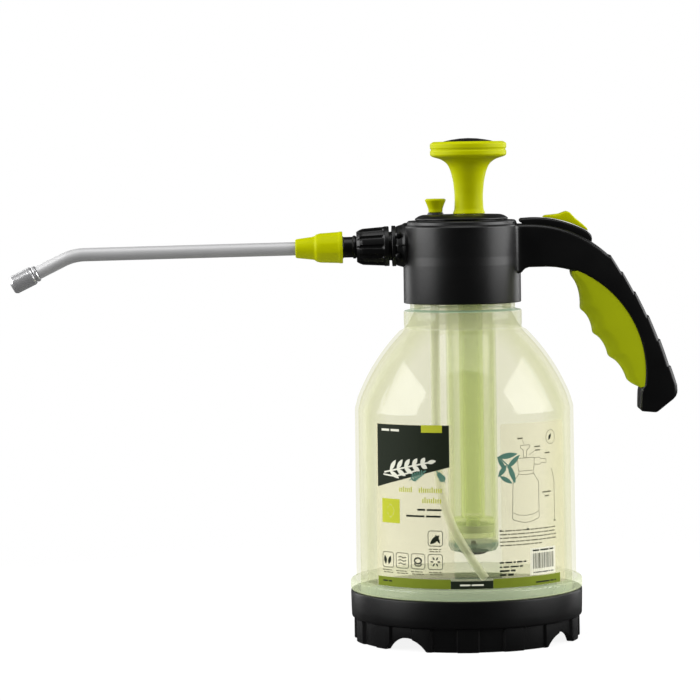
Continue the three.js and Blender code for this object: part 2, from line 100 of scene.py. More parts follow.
def turned(profile, x=0.0, sides=128, radius_change=None):
    """A profile of (r, z) points carried round an upright axis at x: (x + r cos a, r sin a, z).

    radius_change(a, r, z), if there is one, is added to r, for ribs and flutes.
    """
    a = np.linspace(0, 2 * np.pi, sides, endpoint=False)[:, None]
    r, z = np.asarray(profile, float).T[:, None, :]
    r, z = r + 0 * a, z + 0 * a
    if radius_change is not None:
        r = r + np.where(r > 1e-6, radius_change(a, r, z), 0)
    return np.stack([x + r * np.cos(a), r * np.sin(a), z], -1)


def grid_faces(rows, columns, around, closed):
    """Corner numbers of the four-sided faces of a grid of points, joined round its rows and, if closed, its columns."""
    i, j = np.meshgrid(np.arange(rows - (not around)), np.arange(columns - (not closed)), indexing="ij")
    i2, j2 = (i + 1) % rows, (j + 1) % columns
    quads = [i * columns + j, i2 * columns + j, i2 * columns + j2, i * columns + j2]
    return np.stack(quads, -1).reshape(-1, 4)


def bare_mesh(name, points, faces, caps=()):
    """A new object from points in millimetres: faces are rows of four corner numbers, and caps are longer lists."""
    mesh = bpy.data.meshes.new(name)
    mesh.from_pydata(np.asarray(points, float).reshape(-1, 3) * 0.001, [], [*np.asarray(faces).tolist(), *caps])
    piece = bpy.data.objects.new(name, mesh)
    bpy.context.scene.collection.objects.link(piece)
    return piece


def finished(piece, material, body, slot, *nodes, sharp=38):
    """Merges doubled points, turns the faces outwards, shades smooth up to the sharp angle, and fixes the piece."""
    shape = bmesh.new()
    shape.from_mesh(piece.data)
    bmesh.ops.remove_doubles(shape, verts=shape.verts, dist=2e-7)
    bmesh.ops.dissolve_degenerate(shape, edges=shape.edges, dist=1e-8)
    bmesh.ops.recalc_face_normals(shape, faces=shape.faces)
    if shape.calc_volume(signed=True) < 0:
        bmesh.ops.reverse_faces(shape, faces=shape.faces)
    shape.to_mesh(piece.data)
    shape.free()
    piece.data.shade_smooth()
    piece.data.set_sharp_from_angle(angle=math.radians(sharp))
    piece.data.materials.append(material)
    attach(piece, body)
    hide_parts(*nodes)
    return piece


def gridded(name, points, material, body, slot, *nodes, around=True, closed=True, caps=(), sharp=38):
    """A piece whose surface is a grid of points, joined round its rows and columns unless told otherwise."""
    piece = bare_mesh(name, points, grid_faces(*points.shape[:2], around, closed), caps)
    return finished(piece, material, body, slot, *nodes, sharp=sharp)


def lathed(name, profile, material, body, slot, *nodes, **turning):
    """A turned piece. The profile runs from the axis to the axis, or round a ring where it never meets the axis."""
    return gridded(name, turned(profile, **turning), material, body, slot, *nodes, closed=profile[0][0] > 1e-6)


class Wire:
    """An output socket of a material's nodes. Arithmetic on wires adds Math nodes."""

    def __init__(self, tree, socket=None):
        self.tree, self.socket = tree, socket

    def node(self, kind, sockets=None, output=0, **settings):
        """A new node's output: its settings are made first, and then its sockets are fed with values or wires."""
        made = self.tree.nodes.new("ShaderNode" + kind)
        for setting, value in settings.items():
            setattr(made, setting, value)
        for name, value in (sockets or {}).items():
            if isinstance(value, Wire):
                self.tree.links.new(value.socket, made.inputs[name])
            else:
                made.inputs[name].default_value = value
        return Wire(self.tree, made.outputs[output])

    def maths(self, operation, *values):
        return self.node("Math", dict(enumerate(values)), operation=operation)

    def __add__(self, other):
        return self.maths("ADD", self, other)

    def __sub__(self, other):
        return self.maths("SUBTRACT", self, other)

    def __rsub__(self, other):
        return self.maths("SUBTRACT", other, self)

    def __mul__(self, other):
        return self.maths("MULTIPLY", self, other)

    __radd__, __rmul__ = __add__, __mul__

    def between(self, low, high):
        """0 below low, 1 above high, and a straight slope between them."""
        sockets = {"Value": self, "From Min": low, "From Max": high}
        return self.node("MapRange", sockets, clamp=True)

    def mixed(self, a, b):
        """The colour a where this wire is 0, and b where it is 1; each may be a colour or a wire."""
        sockets = {0: self, 6: a, 7: b}
        return self.node("Mix", sockets, output=2, data_type="RGBA")


def new_material(name):
    """An empty material, and a wire into its nodes."""
    material = bpy.data.materials.new(name)
    material.use_nodes = True
    material.node_tree.nodes.clear()
    return material, Wire(material.node_tree)


def shown(material, shader):
    """The material, with a shader sent to its output."""
    output = material.node_tree.nodes.new("ShaderNodeOutputMaterial")
    material.node_tree.links.new(shader.socket, output.inputs["Surface"])
    return material


def speckle(wire, scale, detail=3.0, roughness=0.5, stretch=(1, 1, 1)):
    """Soft noise from 0 to 1 through the piece, in blobs of about 1 / scale metres."""
    place = wire.node("TexCoord", output="Object")
    place = wire.node("Mapping", {"Vector": place, "Scale": stretch})
    return wire.node("TexNoise", {"Vector": place, "Scale": scale, "Detail": detail, "Roughness": roughness})


def bumped(wire, height, strength, distance):
    """A surface normal that follows a height."""
    return wire.node("Bump", {"Height": height, "Strength": strength, "Distance": distance})


def clear_plastic(name, tint, edge_tint, milk, haze, edge_haze, gloss=0.011, thick=()):
    """A wall that light passes, tinted once at each of its faces.

    Seen more and more edge on, it first takes the deeper tint, and at the very edge it turns paler again: that pale
    edge is a painted reflection of the white surround. A share of it, the haze, is milky, and it mirrors a small even
    share of what is around it. Each thick zone is (low, high, more haze, its milk's colour): between those heights in
    metres the wall is thicker, fading in over half a millimetre.
    """
    material, wire = new_material(name)
    facing = wire.node("LayerWeight", {"Blend": 0.5}, output="Facing")
    drift = speckle(wire, 45, 2.0)
    through = wire.node("BsdfTransparent", {"Color": (*tint, 1)})
    deeper = wire.node("BsdfTransparent", {"Color": (*edge_tint, 1)})
    # Past the deeper band the factor falls back to a quarter, so the very edge is paler: a painted reflection of the
    # white surround.
    edge = facing.between(0.3, 0.56) * (1 - 0.75 * facing.between(0.58, 0.66))
    cloud = drift.mixed((*[0.94 * c for c in milk], 1), (*milk, 1))
    haze = edge * edge_haze + haze
    height = wire.node("SeparateXYZ", {"Vector": wire.node("TexCoord", output="Object")}, output=2)
    # Each zone's milk takes over there; the dark teal milk of the tank's zone down in the boot is painted shade.
    for low, high, more, colour in thick:
        share = height.between(low, low + 0.0005) * (1 - height.between(high - 0.0005, high))
        haze = haze + share * more
        cloud = share.mixed(cloud, (*colour, 1))
    milky = wire.node("BsdfPrincipled", {"Base Color": cloud, "Roughness": 0.6, "Specular IOR Level": 0.0})
    clear_wall = wire.node("MixShader", {0: edge, 1: through, 2: deeper})
    wall = wire.node("MixShader", {0: haze, 1: clear_wall, 2: milky})
    ripple = bumped(wire, speckle(wire, 28, 2.0, 0.45, (1, 1, 0.6)), 0.05, 0.002)
    polish = {"Base Color": (1, 1, 1, 1), "Metallic": 1.0, "Roughness": 0.08, "Normal": ripple}
    mirror = wire.node("BsdfPrincipled", polish)
    return shown(material, wire.node("MixShader", {0: gloss + 0.01 * drift, 1: wall, 2: mirror}))


tank_zones = [
    (0, 0.0275, 0.42, (0.26, 0.4, 0.33)),  # the floor and foot ring: dark teal milk, painted shade down in the boot
    (0.0275, 0.0372, 0.24, (0.7, 0.77, 0.53)),  # the flange
    (0.1863, 0.1966, 0.22, (0.66, 0.68, 0.45)),  # the collar
    (0.1966, 0.1984, 0.5, (0.3, 0.46, 0.33)),  # the collar's upper edge
    (0.1984, 0.3, 0.22, (0.66, 0.68, 0.45)),  # the neck and its thread
]
tank_plastic = clear_plastic(
    "tank_plastic", tint=(0.955, 0.952, 0.895), edge_tint=(0.92, 0.922, 0.83), milk=(0.86, 0.85, 0.66), haze=0.045,
    edge_haze=0.045, thick=tank_zones
)

tank_foot, tank_top, flange_radius = span("tank")
wall = 2.0
wall_radius = flange_radius - 4.1
wall_foot, wall_top = 36.8, 139.2
shoulder = -45.2, 102.9  # the middle of the circle that the shoulder follows
shoulder_radius = 116.9
collar_radius = wall_radius - 30.1
neck_radius = collar_radius - 3.9
thread = [
    (r, tank_top - 20 + 5.4 * turn + rise, 0.4)
    for turn in range(3)
    for r, rise in ((neck_radius, 0), (neck_radius + 1.4, 1), (neck_radius + 1.4, 1.9), (neck_radius, 2.9))
]
tank_profile = rounded(
    [
        (0, 20), (20, 18.7, 30), (38, 15, 20), (50, tank_foot, 6), (57, tank_foot + 0.3, 6), (63.4, 17, 6),
        (65.4, 23, 4), (65.5, 30.6, 0.2), (flange_radius, 30.6, 0.9), (flange_radius, 36.6, 1.6),
        (wall_radius + 0.6, wall_foot, 1.2),
        (wall_radius, wall_top, 9), *arc(*shoulder, shoulder_radius, 21.4, 44.6, 24),
        (collar_radius - 0.4, 186.6, 2), (collar_radius, 189, 1.6), (collar_radius, 197, 0.8),
        (neck_radius, 197.8, 0.9), *thread, (neck_radius, tank_top, 0.6), (neck_radius - 2.3, tank_top, 0.6),
        (neck_radius - 2.3, 196, 3),
        (collar_radius - 2.2, 189, 3), *arc(*shoulder, shoulder_radius - wall, 44.6, 21.4, 24),
        (wall_radius - wall, 138.4, 6), (63.4, 23, 5), (61.6, 18.2, 4), (56, 14, 4), (50, 13.8, 4), (38, 17, 20),
        (20, 20.7, 30), (0, 22),
    ]
)
lathed("tank_shell", tank_profile, tank_plastic, "tank", "tank_plastic", "tank", sides=192)

# ------------------------------------------------------------------------------
# Base boot: a black polypropylene cup pushed on under the flange. Its foot ring has fifteen broad ribs outside and four
# arches to drain it, and a hub stands under the middle of its floor.


def moulded_plastic(name, light, dark, gloss, grain_scale, grain_depth, mottling=30, shine_level=0.4):
    """Pigmented plastic: a fine spark-eroded grain, slow changes of gloss, and a trace of colour change."""
    material, wire = new_material(name)
    grain = speckle(wire, grain_scale, 4.0, 0.6)
    slow = speckle(wire, mottling, 3.0, 0.55)
    colour = slow.between(0.3, 0.7).mixed((*dark, 1), (*light, 1))
    shine = gloss + 0.1 * slow.between(0.25, 0.75) - 0.05 + 0.05 * grain
    normal = bumped(wire, grain, 0.35, grain_depth)
    sockets = {"Base Color": colour, "Roughness": shine, "Specular IOR Level": shine_level, "Normal": normal}
    return shown(material, wire.node("BsdfPrincipled", sockets))


black_plastic = moulded_plastic(
    "black_plastic", (0.0015, 0.0015, 0.0016), (0.0008, 0.0008, 0.0009), gloss=0.34, grain_scale=2600,
    grain_depth=0.00006
)

boot_foot, boot_top, boot_radius = span("base_boot")
rib_count, rib_radius, valley_radius = 15, boot_radius - 1.7, boot_radius - 3.2
rib_half, rib_flank = 5.85, 0.7  # in degrees about the axis
rib_pitch, rib_turn = 2 * math.pi / rib_count, math.radians(91.5)
angle = np.linspace(0, 2 * np.pi, rib_count * 48, endpoint=False)[:, None]
# One rib faces the front, turned by 1.5 degrees; outside a rib the wall falls to the valleys over its flank.
from_rib = np.degrees(np.abs((angle + rib_turn + rib_pitch / 2) % rib_pitch - rib_pitch / 2))
ribbed = valley_radius + (rib_radius - valley_radius) * np.clip((rib_half - from_rib) / rib_flank, 0, 1)
# Seen from the side an arch is part of a circle, 29 mm wide and 7.5 mm high; each is a quarter turn from the next.
arch_half, arch_high, first_arch = 14.6, 7.5, math.radians(-80)
arch_radius = (arch_half ** 2 + arch_high ** 2) / (2 * arch_high)
arch_turn = (angle - first_arch) % (math.pi / 2) - math.pi / 4
arch_way = boot_radius * np.sin(arch_turn)
arch_edge = np.sqrt(np.maximum(arch_radius ** 2 - arch_way ** 2, 0)) - arch_radius + arch_high
sill = boot_foot + np.maximum(arch_edge, 0)
# The outline, from the floor's underside round the foot ring and rim to the floor's upper side.
boot_outline = [
    (0.001, 9.5), (56, 9.5), (62.6, 9.3), (63.2, 8.7), (63.2, sill + 0.5), (63.6, sill), (ribbed - 0.8, sill),
    (ribbed - 0.2, sill + 0.25), (ribbed, sill + 0.9), (ribbed, 12.9), (ribbed + 0.05, 13.6), (ribbed + 0.4, 14.1),
    (boot_radius - 1.1, 14.2), (boot_radius - 0.6, 14.5), (boot_radius - 0.35, 15.2), (boot_radius - 0.2, 20),
    (boot_radius - 0.05, 28.8), (boot_radius - 0.2, 29.8), (boot_radius - 0.7, boot_top), (boot_radius - 2.6, boot_top),
    (boot_radius - 3, boot_top - 0.5), (boot_radius - 3, 21.6), (65, 17.6), (61.6, 11.7), (60.6, 11.4), (0.001, 11.4),
]
boot_r, boot_z = (np.concatenate([place[k] + 0 * angle for place in boot_outline], 1) for k in (0, 1))
boot_points = np.stack([boot_r * np.cos(angle), boot_r * np.sin(angle), boot_z], -1)
gridded("boot_cup", boot_points, black_plastic, "tank", "black_plastic", "base_boot", sharp=30)

hub_profile = rounded([(0, 0), (12, 0, 0.6), (12, 9.6), (0, 9.6)])
lathed("boot_hub", hub_profile, black_plastic, "tank", "black_plastic", "base_boot", sides=64)

# ------------------------------------------------------------------------------
# Label: a clear film stuck on in two panels, joined by a strip along the foot, and printed in six inks. The pattern is
# this model's own: bars for lines of print, a leafy sprig for a mark, plain symbols, and an outline of the sprayer.

label_foot, label_top = span("label")[:2]


def on_wall(places, lift):
    """Points on the tank's wall: (across, up) in millimetres becomes (r sin a, -r cos a, up), with a = across / r.

    The wall's radius falls evenly with height, and lift is how far the point stands off it.
    """
    across, up = places[..., 0], places[..., 1]
    r = np.interp(up, (wall_foot, wall_top), (wall_radius + 0.6, wall_radius)) + lift
    a = across / (wall_radius + 1)
    return np.stack([r * np.sin(a), -r * np.cos(a), up], -1)


def strokes_piece(name, strokes, low, high, material):
    """Thin prints that stand on the wall from one height off it to another.

    A stroke is two edge lines of (across, up), and whether its ends join. It is cut crossways every 1.5 mm so that it
    bends with the wall, and closed as a thin box.
    """
    points, faces, first = [], [], 0
    for edge1, edge2, closed in strokes:
        edges = np.stack([np.asarray(edge1, float), np.asarray(edge2, float)], 1)
        if closed:
            edges = np.concatenate([edges, edges[:1]])
        step = np.abs(np.diff(edges, axis=0)).max((1, 2))
        at = np.concatenate([[0], np.cumsum(np.maximum(np.ceil(step / 1.5), 1))])
        fine = np.arange(at[-1] + 1)
        edges = np.stack([np.interp(fine, at, edges[:, k, c]) for k in (0, 1) for c in (0, 1)], 1).reshape(-1, 2, 2)
        if closed:
            edges = edges[:-1]
        bottom, top = on_wall(edges, low), on_wall(edges, high)
        ring = np.stack([bottom[:, 0], bottom[:, 1], top[:, 1], top[:, 0]], 1)
        points.append(ring.reshape(-1, 3))
        faces.extend((grid_faces(len(ring), 4, closed, True) + first).tolist())
        if not closed:
            last = first + 4 * (len(ring) - 1)
            faces.extend([[first + k for k in range(4)], [last + k for k in range(4)]])
        first += 4 * len(ring)
    return finished(bare_mesh(name, np.concatenate(points), faces), material, "tank", "label_film", "label", sharp=20)


def band(low_line, high_line):
    """A print between a lower and an upper edge line."""
    return low_line, high_line, False


def line(points, width, closed=False):
    """A print of one width along a line: each point moves sideways by half the width, square to the line there."""
    p = np.asarray(points, float)
    if closed:
        way = np.roll(p, -1, 0) - np.roll(p, 1, 0)
    else:
        way = np.gradient(p, axis=0)
    way /= np.maximum(np.hypot(*way.T), 1e-9)[:, None]
    side = np.stack([-way[:, 1], way[:, 0]], 1) * width / 2
    return p - side, p + side, closed


def heading(degrees):
    """A step of one millimetre across the label, that way."""
    return np.array([math.cos(math.radians(degrees)), math.sin(math.radians(degrees))])


def leaf(across, up, length, degrees, width):
    """A pointed oval that starts at a place and grows that way: its half width is width / 2 times sin(pi t) ^ 0.9."""
    t = np.linspace(0.02, 0.98, 9)
    way = heading(degrees)
    middle = np.array([across, up]) + t[:, None] * length * way
    side = np.array([-way[1], way[0]]) * (width / 2 * np.sin(np.pi * t) ** 0.9)[:, None]
    return middle - side, middle + side, False


def frame_line(left, foot, right, top, corner, width):
    """A rounded square drawn with a thin line."""
    corners = [(left, foot, corner), (right, foot, corner), (right, top, corner), (left, top, corner)]
    return line(rounded(corners, True, 4), width, True)


def sprig(across, up, length, degrees, size):
    """A stem with leaves in pairs, each pair smaller than the last, and one at its end."""
    way = heading(degrees)
    end = np.array([across, up]) + length * way
    made = [line([(across, up), end], 0.14 * size)]
    for k in range(5):
        at = np.array([across, up]) + (0.14 + 0.17 * k) * length * way
        for side in (-1, 1):
            made.append(leaf(*at, size * (1.25 - 0.13 * k), degrees + side * 42, 0.42 * size))
    made.append(leaf(*(end - 0.06 * length * way), size * 0.9, degrees, 0.36 * size))
    return made


def words(left, right, up, height, lengths):
    """A line of print, as bars of those lengths in turn with a gap between them."""
    made, at, k = [], left, 0
    while at < right - 0.8:
        end = min(at + lengths[k % len(lengths)], right)
        made.append(line([(at, up), (end, up)], height))
        at, k = end + 0.9 * height, k + 1
    return made


def ticks(left, right, foot, heights, width=0.66, pitch=1.34):
    """Heavier print, as upright ticks of those heights in turn."""
    count = int((right - left) / pitch)
    places = left + pitch * (np.arange(count) + 0.5)
    return [line([(x, foot), (x, foot + heights[k % len(heights)])], width) for k, x in enumerate(places)]


def printed(name, colour, darker):
    """Ink on film: a soft sheen, and slight changes of density where less ink was laid down."""
    material, wire = new_material(name)
    density = speckle(wire, 300, 3.0)
    sockets = {
        "Base Color": density.mixed((*darker, 1), (*colour, 1)),
        "Roughness": 0.5 + 0.12 * density,
        "Specular IOR Level": 0.12,
        "Normal": bumped(wire, speckle(wire, 2500, 2.0), 0.1, 0.00002),
    }
    return shown(material, wire.node("BsdfPrincipled", sockets))


label_film = clear_plastic(
    "label_film", tint=(0.99, 0.985, 0.96), edge_tint=(0.98, 0.975, 0.94), milk=(0.88, 0.83, 0.62), haze=0.15,
    edge_haze=0.0, gloss=0.0
)
# Heights off the wall: the film, an ink on it, and an ink over another.
film_back, film_face, ink_face, over_back, over_face = 0.06, 0.2, 0.23, 0.235, 0.25
left_panel, right_panel = (-62.9, -9.0), (19.1, 69.6)
strip_top = label_foot + 6
# The film's edges from left to right: both panels have cut corners, and only the strip runs between them (None).
across = [
    left_panel[0], left_panel[0] + 0.5, left_panel[0] + 1.5, left_panel[1] - 1.5, left_panel[1] - 0.5, left_panel[1],
    left_panel[1] + 0.01, right_panel[0] - 0.01, right_panel[0], right_panel[0] + 0.5, right_panel[0] + 1.5,
    right_panel[1] - 1.5, right_panel[1] - 0.5, right_panel[1],
]
top_cut = [1.5, 0.4, 0, 0, 0.4, 1.5, None, None, 1.5, 0.4, 0, 0, 0.4, 1.5]
foot_cut = [1.5, 0.4, *[0] * 10, 0.4, 1.5]
foot_line = [(x, label_foot + cut) for x, cut in zip(across, foot_cut)]
top_line = [(x, strip_top if cut is None else label_top - cut) for x, cut in zip(across, top_cut)]
strokes_piece("label_sheet", [band(foot_line, top_line)], film_back, film_face, label_film)

dark_ink = printed("dark_ink", (0.014, 0.02, 0.01), (0.011, 0.016, 0.008))
line_ink = printed("line_ink", (0.2, 0.19, 0.12), (0.13, 0.13, 0.08))
lime_ink = printed("lime_ink", (0.5, 0.53, 0.03), (0.44, 0.48, 0.03))
olive_ink = printed("olive_ink", (0.17, 0.22, 0.015), (0.14, 0.18, 0.01))
teal_ink = printed("teal_ink", (0.1, 0.23, 0.17), (0.07, 0.17, 0.13))
pale_ink = printed("pale_ink", (0.78, 0.78, 0.66), (0.7, 0.7, 0.58))

word_lengths = [2.6, 4.4, 1.5, 3.6, 5.2, 2.2]
symbols = [(-24.8, 62.5), (-57.5, 48.8), (-46.6, 48.8), (-35.9, 48.8), (-25.0, 48.8)]
symbol_size = 8.9
bar_widths = [0.5, 0.3, 0.62, 0.3, 0.46, 0.7, 0.3]
dark = [
    band([(-61.4, 95.8), (-11.3, 108.6)], [(-61.4, label_top - 0.3), (-11.3, label_top - 0.3)]),
    band([(-11.4, label_foot + 0.2), (13.5, label_foot + 0.2)], [(-11.4, strip_top - 1.3), (13.5, strip_top - 1.3)]),
    *words(-31.4, -16.0, 83.6, 1.1, [5.0, 9.0]), *words(-38.9, -16.0, 79.8, 1.1, [12.0, 9.0]),
    *words(-57.4, -50.0, strip_top - 2.6, 0.9, [4.0]), *words(41.8, 59.0, strip_top - 4.0, 0.9, [11.0, 3.0]),
    *words(17.7, 35.0, 52.2, 0.9, word_lengths), *words(17.7, 32.6, 49.6, 0.9, word_lengths[2:]),
    *words(17.7, 28.0, 47.3, 1.1, [6.0, 3.0]), *words(17.7, 26.4, 45.0, 1.2, [4.0, 3.6]),
    *[frame_line(x, y, x + symbol_size, y + symbol_size, 1.5, 0.34) for x, y in symbols],
    *[frame_line(x + 0.1, y + 0.1, x + symbol_size - 0.1, y + symbol_size - 0.1, 1.4, 0.2) for x, y in symbols[:1]],
    leaf(-23.6, 63.6, 7.8, 42, 3.0), leaf(-17.6, 64.0, 6.0, 118, 1.8),
    leaf(-54.8, 50.4, 5.4, 100, 2.4), leaf(-52.6, 50.4, 5.4, 72, 2.4),
    *[line([(-44.9, y), (-43.2, y + 0.4), (-41.4, y - 0.4), (-39.5, y)], 0.5) for y in (51.4, 53.3, 55.2)],
    line([(-31.45 + 2.2 * math.cos(a), 53.6 + 1.7 * math.sin(a)) for a in np.linspace(0, 6.0, 16)], 0.9, True),
    line([(-33.9, 52), (-32.6, 50.6), (-30.2, 50.6), (-28.9, 52)], 0.7),
    *[leaf(-20.5 + math.cos(a), 53.3 + math.sin(a), 2.2, math.degrees(a), 0.9) for a in np.arange(0, 6, 1.05)],
    *[line([(40 + 0.98 * k, 47.3), (40 + 0.98 * k, 56.3)], bar_widths[k % len(bar_widths)]) for k in range(18)],
    *words(39.6, 56.8, 58.0, 0.9, [5.0, 7.0]), *words(40.0, 56.6, 45.1, 0.6, [1.2, 4.6, 5.0]),
    leaf(54.0, 122.0, 4.4, 60, 1.9), *words(17.9, 19.4, 70.9, 1.0, [1.2]), *words(35.7, 37.4, 70.9, 1.0, [1.4]),
]
strokes_piece("label_dark_print", dark, film_face, ink_face, dark_ink)

fine_print = [
    *[bar for k, y in enumerate((70.7, 68.6, 66.5, 64.3))
      for bar in words(18.0, 59.6, y, 0.7, word_lengths[k:] + [3.0])],
    *words(18.0, 46.9, 62.2, 0.7, word_lengths), *words(-24.4, -17.0, 60.6, 0.6, [2.0, 3.0]),
    *words(-24.0, -17.4, 59.3, 0.6, [3.0, 1.6]),
    *[bar for x in (-57.6, -46.8, -36.2, -24.6) for inset, y in ((0, 47.1), (0.8, 45.8))
      for bar in words(x + inset, x + 8.6, y, 0.55, [2.2, 3.1, 1.4])],
    *words(30.2, 33.8, 124.3, 0.9, [3.6]), *words(42.1, 46.7, 118.9, 0.8, [4.6]), *words(42.6, 46.6, 116.8, 0.8, [4]),
    *words(50.4, 54.7, 114.7, 0.8, [4.3]), *words(48.0, 55.2, 91.8, 0.9, [7.2]), *words(49.9, 53.5, 89.4, 0.8, [3.6]),
    line(arc(55.8, 123.8, 4.1, 0, 360, 24)[:-1], 0.28, True),
    line([(33.2, 123.4), (34.6, 121.0)], 0.22), line([(42.0, 116.4), (38.2, 114.2)], 0.22),
    line(rounded([(32.0, 120.2, 0.6), (38.8, 120.2, 0.6), (38.6, 118.7, 0.3), (36.6, 117.4, 1), (36.2, 113),
                  (34.2, 113), (34.0, 117.4, 1), (32.2, 118.7, 0.3)], True, 3), 0.3, True),
    line(rounded([(30.0, 112.7, 0.6), (42.0, 112.7, 0.6), (41.4, 105.2, 0.4), (30.6, 105.2, 0.4)], True, 3), 0.3, True),
    line(rounded([(42.0, 112.3), (46.0, 112.6, 0.8), (47.2, 111.4, 0.4), (51.5, 111.3, 0.6), (51.4, 109.0, 0.6),
                  (47.2, 109.2, 0.4), (46.0, 108.3, 0.6), (41.9, 108.7)], False, 3), 0.3),
    line(rounded([(31.0, 104.6), (30.6, 103.4, 1), (26.8, 98.4, 4), (26.2, 80), (25.9, 77.2, 2), (35.6, 74.2, 30),
                  (45.3, 77.2, 2), (45.0, 80), (45.0, 98.4, 4), (41.2, 103.4, 1), (40.9, 104.6)], False, 4), 0.32),
    line([(26.2, 81.2), (30, 79.6), (35.6, 79.0), (41, 79.6), (45, 81.2)], 0.28),
    line([(30.9, 103.4), (35.8, 102.8), (41.0, 103.4)], 0.28),
    line([(56.1, 105.4), (57.6, 101.6), (58.6, 97.6), (58.6, 74.1)], 0.34), line([(57.6, 74.4), (59.6, 74.4)], 0.8),
]
strokes_piece("label_fine_print", fine_print, film_face, film_face + 0.025, line_ink)

lime = [
    band([(-28.4, 128.7), (-15.5, 128.7)], [(-28.4, label_top - 0.1), (-15.5, label_top - 0.1)]),
    band([(-57.5, 75.0), (-43.5, 75.0)], [(-57.5, 89.2), (-43.5, 89.2)]),
    *ticks(-44.0, -33.4, 93.6, [2.5, 2.5, 3.3, 2.5]), *ticks(-30.6, -15.8, 93.6, [2.5, 3.3, 2.5, 2.5, 2.5]),
    *ticks(-28.4, -16.0, 87.5, [2.5, 3.4, 2.5, 2.5]),
]
strokes_piece("label_lime_print", lime, over_back, over_face, lime_ink)
stripes = [
    band([(x0, label_foot + 0.2), (x1, label_foot + 0.2)], [(x0, strip_top - 0.3), (x1, strip_top - 0.3)])
    for x0, x1 in ((left_panel[0] + 1, -11.5), (13.6, 63.4))
]
strokes_piece("label_stripe", stripes, film_face, film_face + 0.015, olive_ink)
foliage = [
    *sprig(-36.6, 100.6, 10.5, 28, 3.2), *sprig(-13.8, 99.6, 7.0, 128, 2.6),
    leaf(16.6, 113.6, 13.6, 8, 3.4), leaf(31.6, 114.8, 11.5, 222, 3.0), leaf(17.2, 114.0, 10.0, 302, 2.6),
    leaf(23.0, 109.4, 9.0, 232, 3.0), leaf(24.0, 109.6, 12.0, 292, 3.2), leaf(18.2, 103.0, 9.6, 330, 2.6),
    line([(18.4, 113.8), (23.4, 109.2), (27.6, 98.6)], 0.7),
]
strokes_piece("label_teal_print", foliage, ink_face - 0.015, ink_face, teal_ink)
pale = [
    *words(-57.4, -43.4, 129.6, 1.3, [6.4, 6.8]), *sprig(-55.4, 104.6, 33.0, 12, 6.6),
    line([(-56.2, 103.4), (-47.0, 102.6), (-38.0, 104.6), (-30.0, 107.0)], 0.9),
    leaf(-50.6, 78.0, 8.2, 90, 5.6), *words(-6.0, 9.0, label_foot + 2.4, 0.9, [6.0, 7.0]),
]
strokes_piece("label_pale_print", pale, over_back, over_face, pale_ink)
patch = [band([(37.6, 43.7), (58.4, 43.7)], [(38.0, 59.4), (58.6, 59.4)])]
# The pale patch behind the code's bars lies just inside the film's face.
strokes_piece("label_code_patch", patch, film_face - 0.01, film_face - 0.001, pale_ink)

# ------------------------------------------------------------------------------
# Pump cylinder: a moulded tube that hangs from the head's floor into the tank, off its axis, with a check valve in its
# foot. It is clearer than the tank, and its thick foot looks frosted.


def middle(node):
    """Where a node's middle lies along X, in millimetres."""
    low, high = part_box(node)
    return (low.x + high.x) * 500


pump_plastic = clear_plastic(
    "pump_plastic", tint=(0.97, 0.978, 0.925), edge_tint=(0.91, 0.925, 0.82), milk=(0.85, 0.92, 0.62), haze=0.1,
    edge_haze=0.1, thick=[(0, 0.058, 0.35, (0.2, 0.32, 0.27))]
)
white_plastic = moulded_plastic("white_plastic", (0.78, 0.78, 0.73), (0.72, 0.72, 0.66), 0.42, 1800, 0.00005)
seal_rubber = moulded_plastic("seal_rubber", (0.016, 0.016, 0.016), (0.01, 0.01, 0.01), 0.62, 1500, 0.0001)
pale_rubber = moulded_plastic("pale_rubber", (0.62, 0.68, 0.42), (0.56, 0.62, 0.38), 0.5, 1500, 0.00008)

pump_x = middle("pump_cylinder")
barrel_foot, barrel_top, barrel_flange = span("pump_cylinder")
barrel_profile = rounded(
    [
        (0, barrel_foot), (6, barrel_foot, 0), (13.6, barrel_foot, 1), (15, barrel_foot + 3, 1.5),
        (15, barrel_top - 2.3, 0.5), (barrel_flange, barrel_top - 2.3, 0.3), (barrel_flange, barrel_top, 0.4),
        (13.4, barrel_top, 0.4),
        (13.4, barrel_foot + 2.2, 1.4), (0, barrel_foot + 2.2),
    ]
)
lathed("pump_barrel", barrel_profile, pump_plastic, "head", "pump_plastic", "pump_cylinder", x=pump_x)

foot_low, foot_high, foot_radius = span("foot_valve")
foot_profile = rounded(
    [
        (0, foot_low), (6, foot_low + 0.6, 6), (foot_radius, foot_low + 2.3, 0.2), (foot_radius, foot_low + 2.6, 0.1),
        (1.1, foot_low + 2.6), (1.1, foot_low + 5.4), (2.2, foot_low + 5.4, 0.3), (1.2, foot_high, 0.5),
        (0, foot_high),
    ]
)
lathed("foot_flap", foot_profile, seal_rubber, "head", "seal_rubber", "foot_valve", x=pump_x, sides=48)

# ------------------------------------------------------------------------------
# Plunger: a hollow rod and a piston of translucent lime plastic, with a pale rubber cup in the piston's groove. On the
# rod's top is the knob, a lime moulding whose slim stem flares into a grooved rim, with a black cap snapped into it.

lime_plastic = moulded_plastic("lime_plastic", (0.51, 0.545, 0.0), (0.47, 0.505, 0.0), 0.38, 2400, 0.00006, 18, 0.06)
rod_plastic = clear_plastic(
    "rod_plastic", tint=(0.96, 0.98, 0.84), edge_tint=(0.92, 0.95, 0.72), milk=(0.94, 1.0, 0.7), haze=0.26,
    edge_haze=0.2
)

piston_low, piston_high, piston_radius = span("piston")
piston_profile = rounded(
    [
        (0, piston_low), (piston_radius, piston_low, 0.5), (piston_radius, piston_low + 2.9, 0.3),
        (10.9, piston_low + 2.9), (10.9, piston_low + 8.1), (piston_radius, piston_low + 8.1, 0.3),
        (piston_radius, piston_high, 0.5),
        (4.3, piston_high, 0.3), (4.3, piston_low + 3.5), (0, piston_low + 3.5),
    ]
)
lathed("piston_head", piston_profile, rod_plastic, "piston", "white_plastic", "piston", x=pump_x, sides=64)

